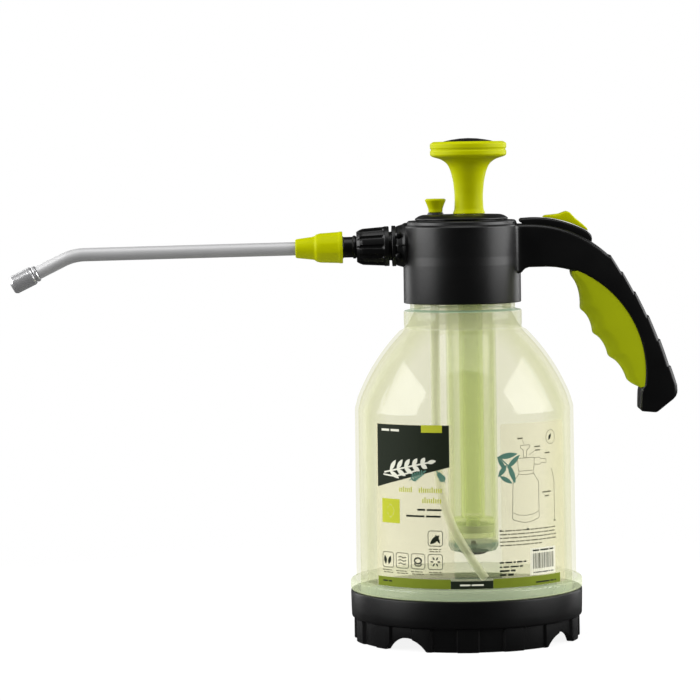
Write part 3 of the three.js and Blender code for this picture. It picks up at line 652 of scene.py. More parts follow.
seal_low, seal_high, seal_radius = span("piston_seal")
seal_profile = rounded(
    [(11.2, seal_low), (12.6, seal_low, 0.3), (seal_radius, seal_high, 0.3), (11.2, seal_high)], True
)
lathed("piston_cup", seal_profile, pale_rubber, "piston", "seal_rubber", "piston_seal", x=pump_x, sides=64)

rod_low, rod_high, rod_radius = span("pump_rod")
rod_profile = rounded(
    [
        (0, rod_low), (4, rod_low, 0.6), (4, rod_low + 7.4), (rod_radius, rod_low + 7.4, 0.8),
        (rod_radius, rod_high, 0.3), (5.2, rod_high), (5.2, rod_low + 10), (0, rod_low + 10),
    ]
)
lathed("plunger_rod", rod_profile, rod_plastic, "plunger", "lime_plastic", "pump_rod", x=pump_x, sides=64)

knob_low, knob_high, knob_radius = span("pump_knob")
knob_profile = rounded(
    [
        (7.5, knob_low, 0.3), (9.8, knob_low, 0.4), (8.7, knob_low + 2.6, 5), (8.45, knob_low + 8, 20),
        (8.5, knob_low + 12, 40), (9.2, knob_low + 19.5, 30), (10.7, knob_low + 25.7, 20), (12.6, knob_low + 30, 10),
        (16.4, knob_low + 32.6, 10), (21.6, knob_low + 34.1, 4), (knob_radius, knob_low + 35.1, 1),
        (knob_radius, knob_low + 37.3, 0.8), (knob_radius - 0.75, knob_low + 38.3, 0.8),
        (knob_radius, knob_low + 39.3, 0.8), (knob_radius, knob_high - 1.2, 1.2),
        (knob_radius - 2.2, knob_high, 2), (16, knob_high, 0.4),
        (16, knob_high - 2.2), (7.5, knob_high - 2.2), (7.5, knob_low + 20), (7.5, knob_low + 18),
    ],
    True,
    8,
)
lathed("knob_grip", knob_profile, lime_plastic, "plunger", "lime_plastic", "pump_knob", x=pump_x, sides=160)

cap_low, cap_high, cap_radius = span("knob_cap")
cap_profile = rounded(
    [
        (0, cap_low), (cap_radius, cap_low, 0.2), (cap_radius, cap_low + 1.7, 0.7), (13.6, cap_low + 2.3, 4),
        (10, cap_low + 3, 20), (5, cap_high - 0.2, 20), (0, cap_high),
    ]
)
lathed("knob_badge", cap_profile, black_plastic, "plunger", "black_plastic", "knob_cap", x=pump_x, sides=96)

# ------------------------------------------------------------------------------
# Head housing: a black moulding that screws onto the neck, with a rounded skirt, a smaller upper drum and a spigot for
# the lance. The spigot's root has a thin rib and two small bosses on each side.

head_low, head_top, head_radius = span("head_housing")
floor_low, floor_high = 227.5, 230.8
head_profile = rounded(
    [
        (0, floor_low), (33.9, floor_low), (33.9, head_low, 0.5), (head_radius, head_low, 1.5),
        (head_radius, 224.4, 5),
        (head_radius - 0.25, 229.4, 5), (head_radius - 0.25, 246.9, 0.9), (head_radius - 1, 247.9, 0.8),
        (head_radius - 1.9, 248.1, 0.5), (head_radius - 2.5, 249.9, 0.8), (head_radius - 3.4, 250.7, 0.6),
        (30.4, head_top - 0.2, 0.4), (29.6, head_top - 0.9, 0.4), (25.6, head_top - 0.9, 0.3),
        (25.6, 247.6), (31.6, 247.6), (31.6, floor_high), (0, floor_high),
    ]
)
lathed("head_drum", head_profile, black_plastic, "head", "black_plastic", "head_housing", sides=192)

outlet_height = 236.4
droop = math.radians(0.7)


def on_lance(points):
    """Turns points about their own upright axis onto the lance's line, which leaves the head along -X and droops."""
    p = np.asarray(points, float)
    out, up = p[..., 2], p[..., 0]
    x = -out * math.cos(droop) - up * math.sin(droop)
    z = outlet_height - out * math.sin(droop) + up * math.cos(droop)
    return np.stack([x, p[..., 1], z], -1)


def lance_piece(name, profile, material, body, slot, *nodes, **turning):
    """A turned piece set along the lance's line; its heights are distances from the tank's axis."""
    points = on_lance(turned(profile, **turning))
    return gridded(name, points, material, body, slot, *nodes, closed=profile[0][0] > 1e-6)


def capped(name, points, material, body, slot, *nodes, sharp=32):
    """A piece made of rings of points, closed with a flat cap at each end."""
    rows, columns = points.shape[:2]
    ends = [list(range(columns)), list(range((rows - 1) * columns, rows * columns))]
    return gridded(name, points, material, body, slot, *nodes, around=False, caps=ends, sharp=sharp)


spigot_profile = rounded(
    [
        (0, 30), (13.8, 30), (13.6, 34, 1), (12.7, 35.6, 1.5), (11.8, 38.8, 1), (11.2, 39.3, 0.4), (12.1, 39.4, 0.3),
        (12.2, 41.8, 0.5), (8.6, 42, 0.4), (8.6, 51.6, 0.5), (4.5, 51.8, 0.3), (4.5, 34), (0, 34),
    ]
)
lance_piece("head_spigot", spigot_profile, black_plastic, "head", "black_plastic", "head_housing", sides=96)

boss_out, boss_rise = 38.0, 6.2  # how far out along the spigot the bosses stand, and how far above and below its line
boss_profile = rounded([(0, 8.4), (2.1, 8.4), (2.1, 11.2, 0.5), (1.3, 12.4, 0.8), (0, 12.8)])
rib_line = rounded([(-39.5, 9.5), (-33.2, 9.5), (-33.2, 15.6, 0.2), (-38.0, 14.6, 0.4), (-39.5, 13.8, 0.3)], True)
rib_height, half_rib = outlet_height + 0.3, 0.45
for side in (-1, 1):
    for up in (-boss_rise, boss_rise):
        a, away, b = np.moveaxis(turned(boss_profile, sides=32), -1, 0)[[0, 2, 1]]
        boss = np.stack([a - boss_out, side * away, outlet_height + up - side * b], -1)
        name = f"spigot_boss_{side + 1}_{up > 0:d}"
        gridded(name, boss, black_plastic, "head", "black_plastic", "head_housing", closed=False)
    rib = np.array([[(x, side * y, rib_height + rise) for x, y in rib_line] for rise in (-half_rib, half_rib)])
    capped(f"spigot_rib_{side + 1}", rib, black_plastic, "head", "black_plastic", "head_housing", sharp=30)

# ------------------------------------------------------------------------------
# Top cover: a black disc with a rolled edge, sunk in the head's mouth. It guides the pump rod in a white bush, and a
# raised seat beside it carries the relief knob.

cover_top, cover_radius = 254.1, span("top_cover")[2]
cover_profile = rounded(
    [
        (0, 248.4), (25.2, 248.4), (25.2, 251), (cover_radius - 0.2, 251.1, 0.4), (cover_radius, 251.9, 0.6),
        (cover_radius - 2.4, 253.4, 1.6), (cover_radius - 4.6, 254.1, 1.2), (cover_radius - 5.4, 253.7, 0.5),
        (cover_radius - 6.6, 253.7, 0.5), (cover_radius - 7.4, cover_top, 0.8), (0, cover_top),
    ]
)
lathed("cover_disc", cover_profile, black_plastic, "head", "black_plastic", "top_cover", sides=160)

relief_x = middle("relief_knob")
seat_profile = rounded(
    [(0, 253), (5.2, 253), (5.2, 253.9, 0.3), (4.4, 255.5, 0.5), (1.9, 255.5), (1.9, 253.2), (0, 253.2)]
)
lathed("relief_seat", seat_profile, black_plastic, "head", "black_plastic", "top_cover", x=relief_x, sides=64)

relief_low, relief_high, relief_radius = span("relief_knob")
relief_profile = rounded(
    [
        (0, relief_low), (3.4, relief_low, 0.2), (3.4, relief_low + 1.6), (1.5, relief_low + 1.6), (1.5, 255.6),
        (4.2, 255.6, 0.2), (4.25, 257.6, 4), (5, 259.8, 6), (relief_radius, 262.6, 0.4), (relief_radius, 263.1, 0.3),
        (5.4, relief_high - 0.1, 0.5), (0, relief_high),
    ]
)
lathed("relief_pull", relief_profile, lime_plastic, "relief", "lime_plastic", "relief_knob", x=relief_x, sides=64)

# ------------------------------------------------------------------------------
# Handle: a black arm moulded in one with the head, with rounded edges. A slot along its top takes the thumb lever,
# five shallow steps on its back stop the palm slipping, and it ends in a square-cut heel.


def lengthwise(points, at):
    """Points at those distances along a line of points, as shares of its length from 0 to 1."""
    p = np.asarray(points, float)
    far = np.concatenate([[0], np.cumsum(np.hypot(*np.diff(p, axis=0).T))])
    return np.stack([np.interp(np.asarray(at) * far[-1], far, p[:, k]) for k in (0, 1)], 1)


def lofted(outer, inner, half_width, outer_round, inner_round, slot_half=0.0, slot_depth=None, steps=6):
    """Rings between an outer and an inner side-view line of (x, z), each a rounded oblong across Y.

    With s measured from a ring's middle towards its outer point, h half the distance between its two points, w its
    half width and r its round, a corner is (s, y) = (h - r + r cos a, w - r + r sin a). A slot sinks the middle of the
    outer face by its depth.
    """
    o, i = np.asarray(outer, float), np.asarray(inner, float)
    middle, reach = (o + i) / 2, (o - i) / 2
    h = np.hypot(*reach.T)
    along = reach / h[:, None]
    w = half_width + 0 * h
    a = np.linspace(0, np.pi / 2, steps + 1)
    s_all, y_all = [], []
    corners = (1, 1, outer_round), (-1, 1, inner_round), (-1, -1, inner_round), (1, -1, outer_round)
    for k, (sign_s, sign_y, limit) in enumerate(corners):
        r = np.minimum(limit + 0 * h, 0.92 * np.minimum(h, w))[:, None]
        s_all.append(sign_s * (h[:, None] - r) + r * np.cos(a + k * np.pi / 2))
        y_all.append(sign_y * (w[:, None] - r) + r * np.sin(a + k * np.pi / 2))
    if slot_depth is not None:
        g = np.asarray(slot_depth, float)[:, None]
        lip = np.minimum(g, 0.5)
        h1 = h[:, None]
        s_all.append(np.concatenate([h1, h1 - lip, h1 - g, h1 - g, h1 - lip, h1], 1))
        y_all.append(np.concatenate([-slot_half - lip, -slot_half + 0 * g, -slot_half + 0 * g], 1))
        y_all.append(np.concatenate([slot_half + 0 * g, slot_half + 0 * g, slot_half + lip], 1))
    ring_s, ring_y = np.concatenate(s_all, 1), np.concatenate(y_all, 1)
    x = middle[:, :1] + along[:, :1] * ring_s
    z = middle[:, 1:] + along[:, 1:] * ring_s
    return np.stack([x, ring_y, z], -1)


def half_across(node):
    """Half the width across Y of a node that is even about the middle, in millimetres."""
    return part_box(node)[1].y * 1000


half_arm = half_across("handle_frame")
arm_top, arm_start = 248, [31.5, 32.2, 32.8, 33.0, 33.4, 34.4, 35.4, 36.2, 37.2]
crown, crown_radius = (39.4, 179.3), 68.7  # the circle that the arm's top follows as it turns down
palm, palm_radius = (43.2, 159.7), 64.7  # the circle that its underside follows
back_x, back_z, back_radius = -114.9, 79.2, 252.2  # the wide circle of its back
step_angles, back_end = [36.4, 33.6, 30.4, 26.7, 23.1, 19.2], 16.4
step_depth = 0.8
# From each step's edge the back sinks evenly to the step's depth at the next edge; the last stretch is plain.
back_turn, back_sink = [], []
for first, last in zip(step_angles, step_angles[1:] + [back_end]):
    share = np.linspace(0, 1, 6)
    back_turn.extend(first - 0.05 + (last - first + 0.1) * share)
    back_sink.extend(step_depth * share * (last > back_end))
back_turn, back_reach = np.radians(back_turn), back_radius - np.array(back_sink)
back_line = np.stack([back_x + back_reach * np.cos(back_turn), back_z + back_reach * np.sin(back_turn)], 1)
top_line = np.concatenate(
    [[(x, arm_top) for x in arm_start], arc(*crown, crown_radius, 90, 46.5, 30), back_line]
)
under_start = [218.4, 218.5, 218.6, 218.6, 218.7, 218.9, 219.6, 220.6, 221.5]
under_line = np.concatenate(
    [[(39.4, 222.3), (50.6, 222.4), (55.5, 222.05), (59.7, 221.3), (63, 220.5), (65.4, 219.8)],
     arc(*palm, palm_radius, 67.4, -8, 30)]
)
# The underside is matched to the top by shares of its length, so that the cuts across the arm stay square to it.
crown_share = 0.475
top_share = np.concatenate(
    [np.linspace(0, crown_share, 31), np.interp(back_turn, np.radians([back_end, step_angles[0]]), [1, 0.49])]
)
under_share = np.interp(top_share, (0, 0.27, crown_share, 1), (0, 0.24, 0.45, 1))
inner_line = np.concatenate([list(zip(arm_start, under_start)), lengthwise(under_line, under_share)])
heel_out = [
    (127.15, 147.6), (127.0, 145.9), (126.2, 144), (124.6, 142.2), (121.5, 139.8), (118.0, 137.0), (115.6, 135.1),
    (114.6, 134.5),
]
heel_in = [
    (105.6, 149.0), (105.1, 146.5), (104.95, 143.6), (104.85, 140.6), (104.8, 138.4), (104.8, 137.0), (105.0, 136.1),
    (105.9, 135.3),
]
arm_outer = np.concatenate([top_line, heel_out])
arm_inner = np.concatenate([inner_line, heel_in])
arm_width = np.full(len(arm_outer), half_arm)
arm_width[:7] += [1.9, 1.1, 0.62, 0.5, 0.32, 0.08, 0]  # the root flares into the head
arm_width[-2:] -= [0.12, 0.8]
slot_start, slot_end, slot_floor, half_slot = 32.9, 79.6, 229.0, 9.4
on_top = np.arange(len(arm_outer)) < len(arm_start) + 30
in_slot = (arm_outer[:, 0] > slot_start) & (arm_outer[:, 0] < slot_end) & on_top
# Depths are measured square to the arm, so they grow as it leans; past the slot the lean doesn't matter.
lean = np.maximum((arm_outer - arm_inner)[:, 1] / np.hypot(*(arm_outer - arm_inner).T), 0.1)
slot_depth = in_slot * (arm_outer[:, 1] - slot_floor) / lean
# The slot's end walls stand square: its first and last cuts are doubled, once without and once with the slot.
cut1, cut2 = np.flatnonzero(in_slot)[[0, -1]]
order = np.concatenate([np.arange(cut1 + 1), np.arange(cut1, cut2 + 1), np.arange(cut2, len(arm_outer))])
depth = slot_depth[order]
depth[cut1], depth[cut2 + 2] = 0, 0
arm = lofted(arm_outer[order], arm_inner[order], arm_width[order], 2.6, 1.8, slot_half=half_slot, slot_depth=depth)
capped("handle_arm", arm, black_plastic, "head", "black_plastic", "handle_frame", sharp=28)

# ------------------------------------------------------------------------------
# Grip: a soft pad of lime rubbery plastic on the handle's inner side, matt, full and round, with four finger hollows.
# It is moulded onto the arm, so it follows the arm's underside with no gap.

soft_grip = moulded_plastic("soft_grip", (0.4, 0.46, 0.0), (0.35, 0.41, 0.0), 0.62, 1600, 0.00012, 22, 0.14)

half_grip = half_across("grip_insert")
crests = np.array([(65.4, 216), (70.1, 196.3), (77.6, 181.6), (86.8, 167.7), (98.2, 152.9)])
hollow = 1.9
# Between two crests the line bows by 4 hollow t^0.8 (1 - t), square to the line that joins them.
t = np.linspace(0, 1, 14)[:-1, None]
bow = 4 * hollow * t ** 0.8 * (1 - t)
hollows = []
for p, q in zip(crests, crests[1:]):
    x, z = q - p
    hollows.append(p + (q - p) * t + np.array([-z, x]) / np.hypot(x, z) * bow)
grip_start, grip_end = [(64.9, 219.4), (64.95, 218.2), (65.1, 217)], [(98.2, 152.9), (101.6, 151.0), (105.0, 149.5)]
share = np.linspace(0, 1, 90)
finger_line = lengthwise(np.concatenate([grip_start, *hollows, grip_end]), share)
# Each point then becomes a weighted mean of five, which rounds the crests.
weights = np.array([1, 2, 3, 2, 1]) / 9.0
for k in (0, 1):
    finger_line[2:-2, k] = np.convolve(finger_line[:, k], weights, "valid")
seam_line = lengthwise(arc(*palm, palm_radius + 0.7, 66.9, -8.2, 60), share ** 0.97)
grip = lofted(seam_line, finger_line, half_grip, 1.0, 8.5, steps=8)
capped("grip_pad", grip, soft_grip, "head", "soft_grip", "grip_insert", sharp=60)

# ------------------------------------------------------------------------------
# Thumb lever: a black moulded blade, curved to follow the arm, that lies in the slot and turns on a steel pin at the
# head's end. The lime slider clipped onto its top locks it down.

half_lever = half_across("thumb_lever")
lever_bend = lever_x, lever_z = 42.6, 187.2  # the middle of the circles that the blade and the slider follow
lever_top = np.concatenate(
    [[(34.6, 250.3), (34.9, 250.8), (35.6, 251.4), (36.4, 251.4), (36.41, 251.41), (41.6, 251.7), (41.61, 251.7)],
     arc(*lever_bend, 64.5, 88, 60.2, 22), [(76.1, 241.9), (77.0, 240.9), (77.35, 239.7), (77.4, 239.3)]]
)
lever_under = np.concatenate(
    [[(34.9, 249.3), (35.3, 248.8), (35.9, 248.5), (36.4, 248.4), (36.41, 240.1), (41.6, 240.1), (41.61, 246.4)],
     arc(*lever_bend, 59.5, 87, 57.4, 22), [(75.4, 237.0), (76.2, 236.4), (76.9, 236.1), (77.1, 236.3)]]
)
lever = lofted(lever_top, lever_under, half_lever, 1.5, 0.6, steps=5)
capped("lever_blade", lever, black_plastic, "thumb_lever", "black_plastic", "thumb_lever")

half_slider = half_across("lock_slider")
slider_top = rounded(
    [(48.8, 252.1), (50.0, 252.9, 1), (53, 253.1, 2), (58.4, 253.7, 3), (61.0, 254.7, 1.5), (62.8, 255.2, 0.8),
     (64.4, 254.5, 1), (67.4, 251.2, 2), (71.6, 247.7, 3), (74.6, 244.9, 0.5), (74.9, 243.6)], False, 5
)
slider_radius, least_height = 64.8, 0.25
x = np.linspace(48.8, 74.85, 64)
foot_z = lever_z + np.sqrt(slider_radius ** 2 - (x - lever_x) ** 2)
top_z = np.maximum(np.interp(x, slider_top[:, 0], slider_top[:, 1]), foot_z + least_height)
pad_top, pad_foot = np.stack([x, top_z], 1), np.stack([x, foot_z], 1)
slider = lofted(pad_top, pad_foot, half_slider, 1.3, 0.2, steps=5)
capped("slider_pad", slider, lime_plastic, "lock_slider", "lime_plastic", "lock_slider", sharp=40)

# ------------------------------------------------------------------------------
# Lance nut: a black moulded union nut with twelve round-ended flutes. It screws onto the head's spigot and holds the
# lance's adapter there; the adapter can turn in it.

flute_count, flute_depth, half_flute = 12, 1.25, 7.5
flute_middle, flute_straight, flute_end = 53.9, 5.9, 1.6


def fluted(a, r, z):
    """Sinks grooves with round ends, by depth times sqrt(1 - (d / half a flute)^2 - e^2).

    Here d is the angle from a flute's middle in degrees, and e goes from 0 along its straight part to 1 at its end.
    """
    half = math.pi / flute_count
    off = np.degrees(np.abs((a + half) % (2 * half) - half)) / half_flute
    past = np.clip(np.abs(z - flute_middle) - flute_straight, 0, None) / flute_end
    return -flute_depth * np.sqrt(np.clip(1 - off ** 2 - past ** 2, 0, 1)) * (r > 9.4)


nut_wall = np.linspace((11.7, 46.4), (10.9, 58.6), 27)
nut_profile = rounded(
    [(9, 43.4), (11.9, 43.4, 0.5), (11.9, 46, 0.5), *nut_wall, (10.8, 59.4, 0.6), (10.1, 61.1, 0.8), (9, 62.9, 0.4),
     (7.1, 62.9, 0.3), (7.1, 56.4), (9, 56.4)], True
)
lance_piece(
    "union_nut", nut_profile, black_plastic, "outlet_nut", "black_plastic", "lance_nut", sides=288, radius_change=fluted
)

adapter_profile = rounded(
    [(1.8, 45), (4.1, 45), (4.1, 54.1), (7.8, 54.1), (7.8, 56.1), (6.4, 56.1), (6.4, 63.2, 0.2), (6.9, 63.5, 0.3),
     (6.9, 64.9, 0.3), (6.2, 65.3, 0.3), (6.2, 70.6, 0.3), (7.1, 71.6), (7.1, 84), (4.3, 84), (4.3, 73.5),
     (1.8, 73.5)], True
)
lance_piece("lance_socket", adapter_profile, black_plastic, "lance", "black_plastic", "lance_adapter", sides=96)

# ------------------------------------------------------------------------------
# Gland collar: a lime moulded cap with ten soft flats, a lip and a tapered tail. It screws onto the adapter, where it
# squeezes a rubber seal round the lance tube.

flat_count, flat_share = 10, 0.42


def flatted(a, r, z):
    """Sinks shallow flats. A full flat has cos(half a flat) / cos(d) of the radius, d being the angle from its middle.

    Only a share of that is taken, and it fades out at both ends of the wall.
    """
    half = math.pi / flat_count
    flat = r * (math.cos(half) / np.cos(a % (2 * half) - half) - 1) * flat_share
    return flat * np.clip((z - 73.3) / 0.8, 0, 1) * np.clip((86.2 - z) / 1.4, 0, 1) * (r > 7.6)


collar_wall = np.linspace((9.3, 73.6), (8.75, 84.6), 15)
collar_profile = rounded(
    [(7.5, 71.2), (9.5, 71.2, 0.5), (9.5, 73.1, 0.4), *collar_wall, (8.2, 86.8, 1), (7.1, 88.2, 0.8), (6.8, 89.6, 1),
     (5.7, 98.7, 0.7), (5.2, 99.5, 0.5), (4.35, 99.5, 0.2), (4.35, 87), (6.9, 86.4), (7.5, 84)], True
)
lance_piece(
    "collar_cap", collar_profile, lime_plastic, "collar", "lime_plastic", "gland_collar", sides=200,
    radius_change=flatted
)

# ------------------------------------------------------------------------------
# Lance tube: 8 mm drawn aluminium tube with a satin finish, bent once near its end. It is pushed into the adapter, and
# the gland's seal grips it.


def metal(name, colour, gloss, grain, stretch, depth, bare=1.0):
    """Bare metal: fine scratches, drawn out along a direction by the stretch, and slow changes of gloss."""
    material, wire = new_material(name)
    streaks = speckle(wire, grain, 3.0, 0.6, stretch)
    slow = speckle(wire, 60, 2.0)
    sockets = {
        "Base Color": streaks.mixed((*[0.86 * c for c in colour], 1), (*colour, 1)),
        "Metallic": bare,
        "Roughness": gloss + 0.12 * streaks + 0.06 * slow - 0.08,
        "Normal": bumped(wire, streaks, 0.25, depth),
    }
    return shown(material, wire.node("BsdfPrincipled", sockets))


lance_aluminium = metal("lance_aluminium", (0.62, 0.62, 0.625), 0.52, 2200, (0.04, 1, 1), 0.00004, 0.45)
nozzle_chrome = metal("nozzle_chrome", (0.74, 0.74, 0.75), 0.22, 1500, (1, 1, 1), 0.000001, 0.7)

tube_radius, tube_bore = 4.0, 3.0
tube_start, bend_start, bend_radius, bend_turn, tip_length = 74.0, 225.5, 31.0, math.radians(25.4), 16.4
straight, tip = np.linspace(tube_start, bend_start - 0.5, 60), np.linspace(0.5, tip_length, 8)
bend = np.linspace(0, bend_turn, 33)
bend_out, bend_drop = bend_start + bend_radius * np.sin(bend), bend_radius * (1 - np.cos(bend))
tube_out = np.concatenate([straight, bend_out, bend_out[-1] + tip * math.cos(bend_turn)])
tube_drop = np.concatenate([0 * straight, bend_drop, bend_drop[-1] + tip * math.sin(bend_turn)])
tube_turn = np.concatenate([0 * straight, bend, bend_turn + 0 * tip])


def carried(section, out, drop, turn, sides=64, radius_change=None):
    """A section of (radius, shift along the line) pairs carried along the lance: rings square to the line's own angle.

    A ring's point is the line's point plus radius (cos a across, sin a sideways) plus the shift along the line.
    """
    a = np.linspace(0, 2 * np.pi, sides, endpoint=False)[None, :]
    r, shift = section[:, :1], section[:, 1:]
    if radius_change is not None:
        r = r + radius_change(a, r, shift)
    out, drop, turn = (np.reshape(v, (-1, 1)) for v in (out, drop, turn))
    up = r * np.cos(a)
    height = up * np.cos(turn) - drop - shift * np.sin(turn)
    return on_lance(np.stack([height, r * np.sin(a), out + shift * np.cos(turn) + up * np.sin(turn)], -1))


# The section's shifts are all 0: its rings are the wall's outside going out along the tube, and its inside coming back.
rows = len(tube_out)
walls = np.stack([np.repeat([tube_radius, tube_bore], rows), np.zeros(2 * rows)], 1)
tube = carried(walls, *(np.concatenate([v, v[::-1]]) for v in (tube_out, tube_drop, tube_turn)))
gridded("lance_pipe", tube, lance_aluminium, "lance", "lance_aluminium", "lance_tube", sharp=50)

# ------------------------------------------------------------------------------
# Nozzle: a plated brass core pressed into the tube's end, and a knurled cap of the same that screws in and out on it to
# change the spray.

nozzle_out, nozzle_drop = tube_out[-1] + 0.3 * math.cos(bend_turn), tube_drop[-1] + 0.3 * math.sin(bend_turn)


def nozzle_piece(name, profile, body, *nodes, **turning):
    """A turned piece on the tip's line; its heights are distances past the end of the tube."""
    points = carried(profile, nozzle_out, nozzle_drop, bend_turn, **turning)
    return gridded(name, points, nozzle_chrome, body, "nozzle_chrome", *nodes, sharp=34)


core_profile = rounded(
    [(0.8, -6), (2.7, -6), (2.7, 0), (4.4, 0, 0.4), (4.9, 0.6, 0.4), (4.9, 1.9, 0.5), (4.2, 2.6, 0.3), (4.2, 12),
     (2.4, 12.2), (2.4, 14.8), (0.8, 14.8)], True
)
nozzle_piece("nozzle_stem", core_profile, "lance", "nozzle_core", sides=96)

cap_radius = 5.6
knurl_count, knurl_depth, knurl_middle, knurl_half, knurl_slant = 40, 0.015, 9.7, 4.3, 1 / 14


def knurled(a, r, z):
    """Sinks crossed fine grooves between two plain rings, by depth times (1 - the smaller of two slanting cosines)."""
    slant = knurl_slant * (z - knurl_middle)
    wave = np.minimum(np.cos(knurl_count * (a + slant)), np.cos(knurl_count * (a - slant)))
    return -knurl_depth * (1 - wave) * (np.abs(z - knurl_middle) < knurl_half) * (r > cap_radius - 0.3)


cap_wall = np.linspace((cap_radius, 5.2), (cap_radius, 14.2), 56)
tip_profile = rounded(
    [(4.5, 2.8), (5.1, 2.8, 0.3), (cap_radius, 3.7, 0.4), *cap_wall, (cap_radius, 15.7, 0.7), (4.7, 17.3, 0.7),
     (2.4, 17.6, 0.4), (1.2, 16.6), (0.6, 16.6), (0.6, 15.3), (4.5, 15.3)], True
)
nozzle_piece("nozzle_shroud", tip_profile, "nozzle", "nozzle_cap", sides=240, radius_change=knurled)

# ------------------------------------------------------------------------------
# Pickup tube: a soft clear hose, 5.4 mm thick, pushed onto a barb under the head's floor. It leans past the pump to the
# bottom of the tank.

pickup_route = np.array(
    [(-17, -13, 226.9), (-17, -13, 190), (-17.2, -13.4, 150), (-17, -15, 115), (-14.4, -17.4, 88), (-8, -19, 68),
     (1.5, -18.6, 51), (10.6, -17.6, 37.5)]
)


def smooth_route(route, count):
    """A Catmull-Rom curve through the route's points: each span blends its two points and their neighbours."""
    p = np.concatenate([[2 * route[0] - route[1]], route, [2 * route[-1] - route[-2]]])
    at = np.linspace(0, len(route) - 1 - 1e-9, count)
    k = at.astype(int)
    t = (at - k)[:, None]
    a, b, c, d = p[k], p[k + 1], p[k + 2], p[k + 3]
    return 0.5 * (2 * b + (c - a) * t + (2 * a - 5 * b + 4 * c - d) * t ** 2 + (3 * b - a - 3 * c + d) * t ** 3)


def hose_points(route, radius, bore, sides=32):
    """Outer rings down the route and inner rings back up it, each square to the route there."""
    way = np.gradient(route, axis=0)
    way /= np.linalg.norm(way, axis=1)[:, None]
    side = np.cross(way, (1.0, 0.0, 0.0))
    side /= np.linalg.norm(side, axis=1)[:, None]
    other = np.cross(way, side)
    a = np.linspace(0, 2 * np.pi, sides, endpoint=False)[None, :, None]
    around = np.cos(a) * side[:, None] + np.sin(a) * other[:, None]
    outer = route[:, None] + radius * around
    inner = route[:, None] + bore * around
    return np.concatenate([outer, inner[::-1]])


hose_plastic = clear_plastic(
    "hose_plastic", tint=(0.96, 0.97, 0.92), edge_tint=(0.9, 0.92, 0.84), milk=(0.95, 0.96, 0.86), haze=0.3,
    edge_haze=0.2
)
hose_radius, hose_bore = 2.7, 1.8
hose = hose_points(smooth_route(pickup_route, 90), hose_radius, hose_bore)
gridded("pickup_hose", hose, hose_plastic, "head", "pump_plastic", "pickup_tube")

# ------------------------------------------------------------------------------
# Inner parts, which keep the frame's shapes: black rubber gaskets and O-rings, the white plastic spray valve, hoses and
# pump bush, and the steel springs and lever pin. All are hidden under the head, in the handle or in the nuts.

spring_steel = metal("spring_steel", (0.6, 0.6, 0.62), 0.3, 1800, (1, 1, 1), 0.00002)
kept = {
    seal_rubber: [
        "neck_gasket", "cylinder_gasket", "relief_seal", "valve_seal", "outlet_washer", "gland_seal", "nozzle_oring"
    ],
    white_plastic: ["guide_bush", "valve_body", "valve_stem", "feed_hose", "delivery_hose"],
    spring_steel: ["relief_spring", "valve_spring", "lever_pin"],
}
for material, names in kept.items():
    for name in names:
        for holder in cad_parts[name].material_slots:
            holder.material = material

# ------------------------------------------------------------------------------
# Floor, surround, light and camera: a round pale paper floor that fades into a white surround, with a tall softbox in
# front and one behind at each side, and one above. The floor glows enough to hide most of its shadow.


def studio_piece(name, profile, sides, material):
    """A turned sheet of the studio, which isn't part of the object."""
    points = turned(profile, sides=sides)
    piece = bare_mesh(name, points, grid_faces(*points.shape[:2], True, False))
    piece.data.materials.append(material)
    return piece


paper, wire = new_material("studio_paper")
paper.cycles.emission_sampling = "NONE"
place = wire.node("TexCoord", output="Object")
from_middle = wire.node("VectorMath", {0: place}, output=1, operation="LENGTH")
fibre = speckle(wire, 900, 3.0)
sheet = wire.node(
    "BsdfPrincipled",
    {
        "Base Color": fibre.mixed((0.15, 0.15, 0.15, 1), (0.17, 0.17, 0.17, 1)), "Roughness": 0.9,
        "Specular IOR Level": 0.0, "Emission Color": (1, 1, 1, 1), "Emission Strength": 0.88,
    },
)
clear = wire.node("BsdfTransparent", {"Color": (1, 1, 1, 1)})
shown(paper, wire.node("MixShader", {0: from_middle.between(0.16, 0.5), 1: sheet, 2: clear}))
floor = studio_piece("studio_floor", [(0, 0), (200, 0), (520, 0)], 96, paper)
floor.visible_glossy = False

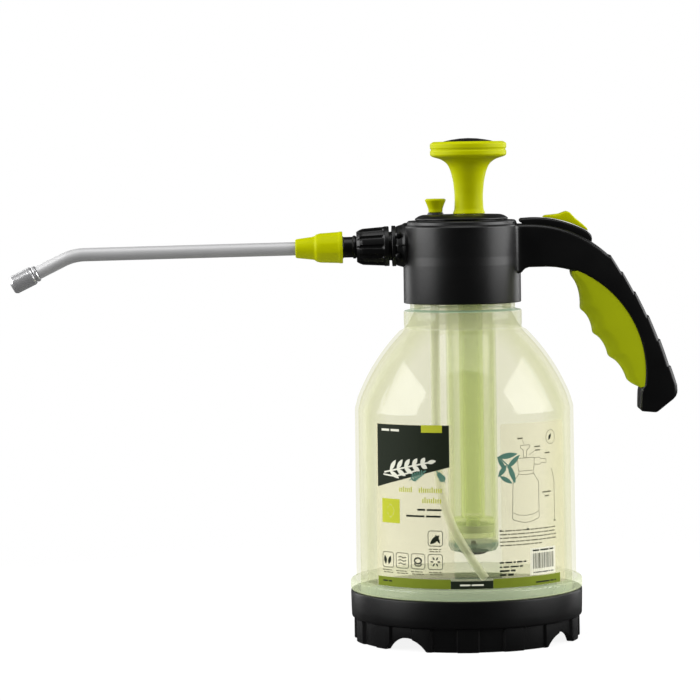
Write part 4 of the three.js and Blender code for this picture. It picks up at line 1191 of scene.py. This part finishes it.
white, wire = new_material("studio_white")
white.cycles.emission_sampling = "NONE"
shown(white, wire.node("Emission", {"Color": (1, 1, 1, 1), "Strength": 1.0}))
dome = studio_piece("studio_surround", arc(0, 0, 9000, -90, 90, 32), 64, white)
# Only the camera sees the surround.
dome.visible_diffuse = dome.visible_glossy = dome.visible_transmission = dome.visible_shadow = False
dome.visible_volume_scatter = False


def softbox(name, place, aim, width, height, power):
    """A rectangular lamp at a place, in metres, turned so that it faces the aim."""
    lamp = bpy.data.lights.new(name, "AREA")
    lamp.shape, lamp.size, lamp.size_y, lamp.energy = "RECTANGLE", width, height, power
    holder = bpy.data.objects.new(name, lamp)
    holder.location = place
    holder.rotation_euler = (Vector(aim) - Vector(place)).to_track_quat("-Z", "Y").to_euler()
    bpy.context.scene.collection.objects.link(holder)


for side in (-1, 1):
    softbox(f"softbox_side_{side + 1}", (side * 1.25, -0.22, 0.68), (0, 0, 0.25), 1.25, 1.08, 25)
    softbox(f"softbox_rear_{side + 1}", (side * 1.0, 1.0, 0.5), (0, 0, 0.15), 0.5, 1.2, 5)
softbox("softbox_top", (0, -0.4, 1.7), (0, 0, 0.1), 1.4, 1.0, 10)

world = bpy.data.worlds.new("studio")
world.use_nodes = True
world.node_tree.nodes["Background"].inputs["Color"].default_value = (1, 1, 1, 1)
world.node_tree.nodes["Background"].inputs["Strength"].default_value = 0.06
bpy.context.scene.world = world
bpy.context.scene.view_settings.view_transform = "Standard"
bpy.context.scene.cycles.transparent_max_bounces = 40

camera = bpy.data.cameras.new("camera")
camera.lens, camera.sensor_width = 172.0, 36.0
eye = bpy.data.objects.new("camera", camera)
eye_place, eye_aim = Vector((-0.0678, -2.0, 0.293)), Vector((-0.0678, 0, 0.174))
facing = (eye_aim - eye_place).to_track_quat("-Z", "Y").to_matrix().to_4x4()
eye.matrix_world = Matrix.Translation(eye_place) @ facing @ Matrix.Rotation(math.radians(-0.92), 4, "Z")
bpy.context.scene.collection.objects.link(eye)
bpy.context.scene.camera = eye
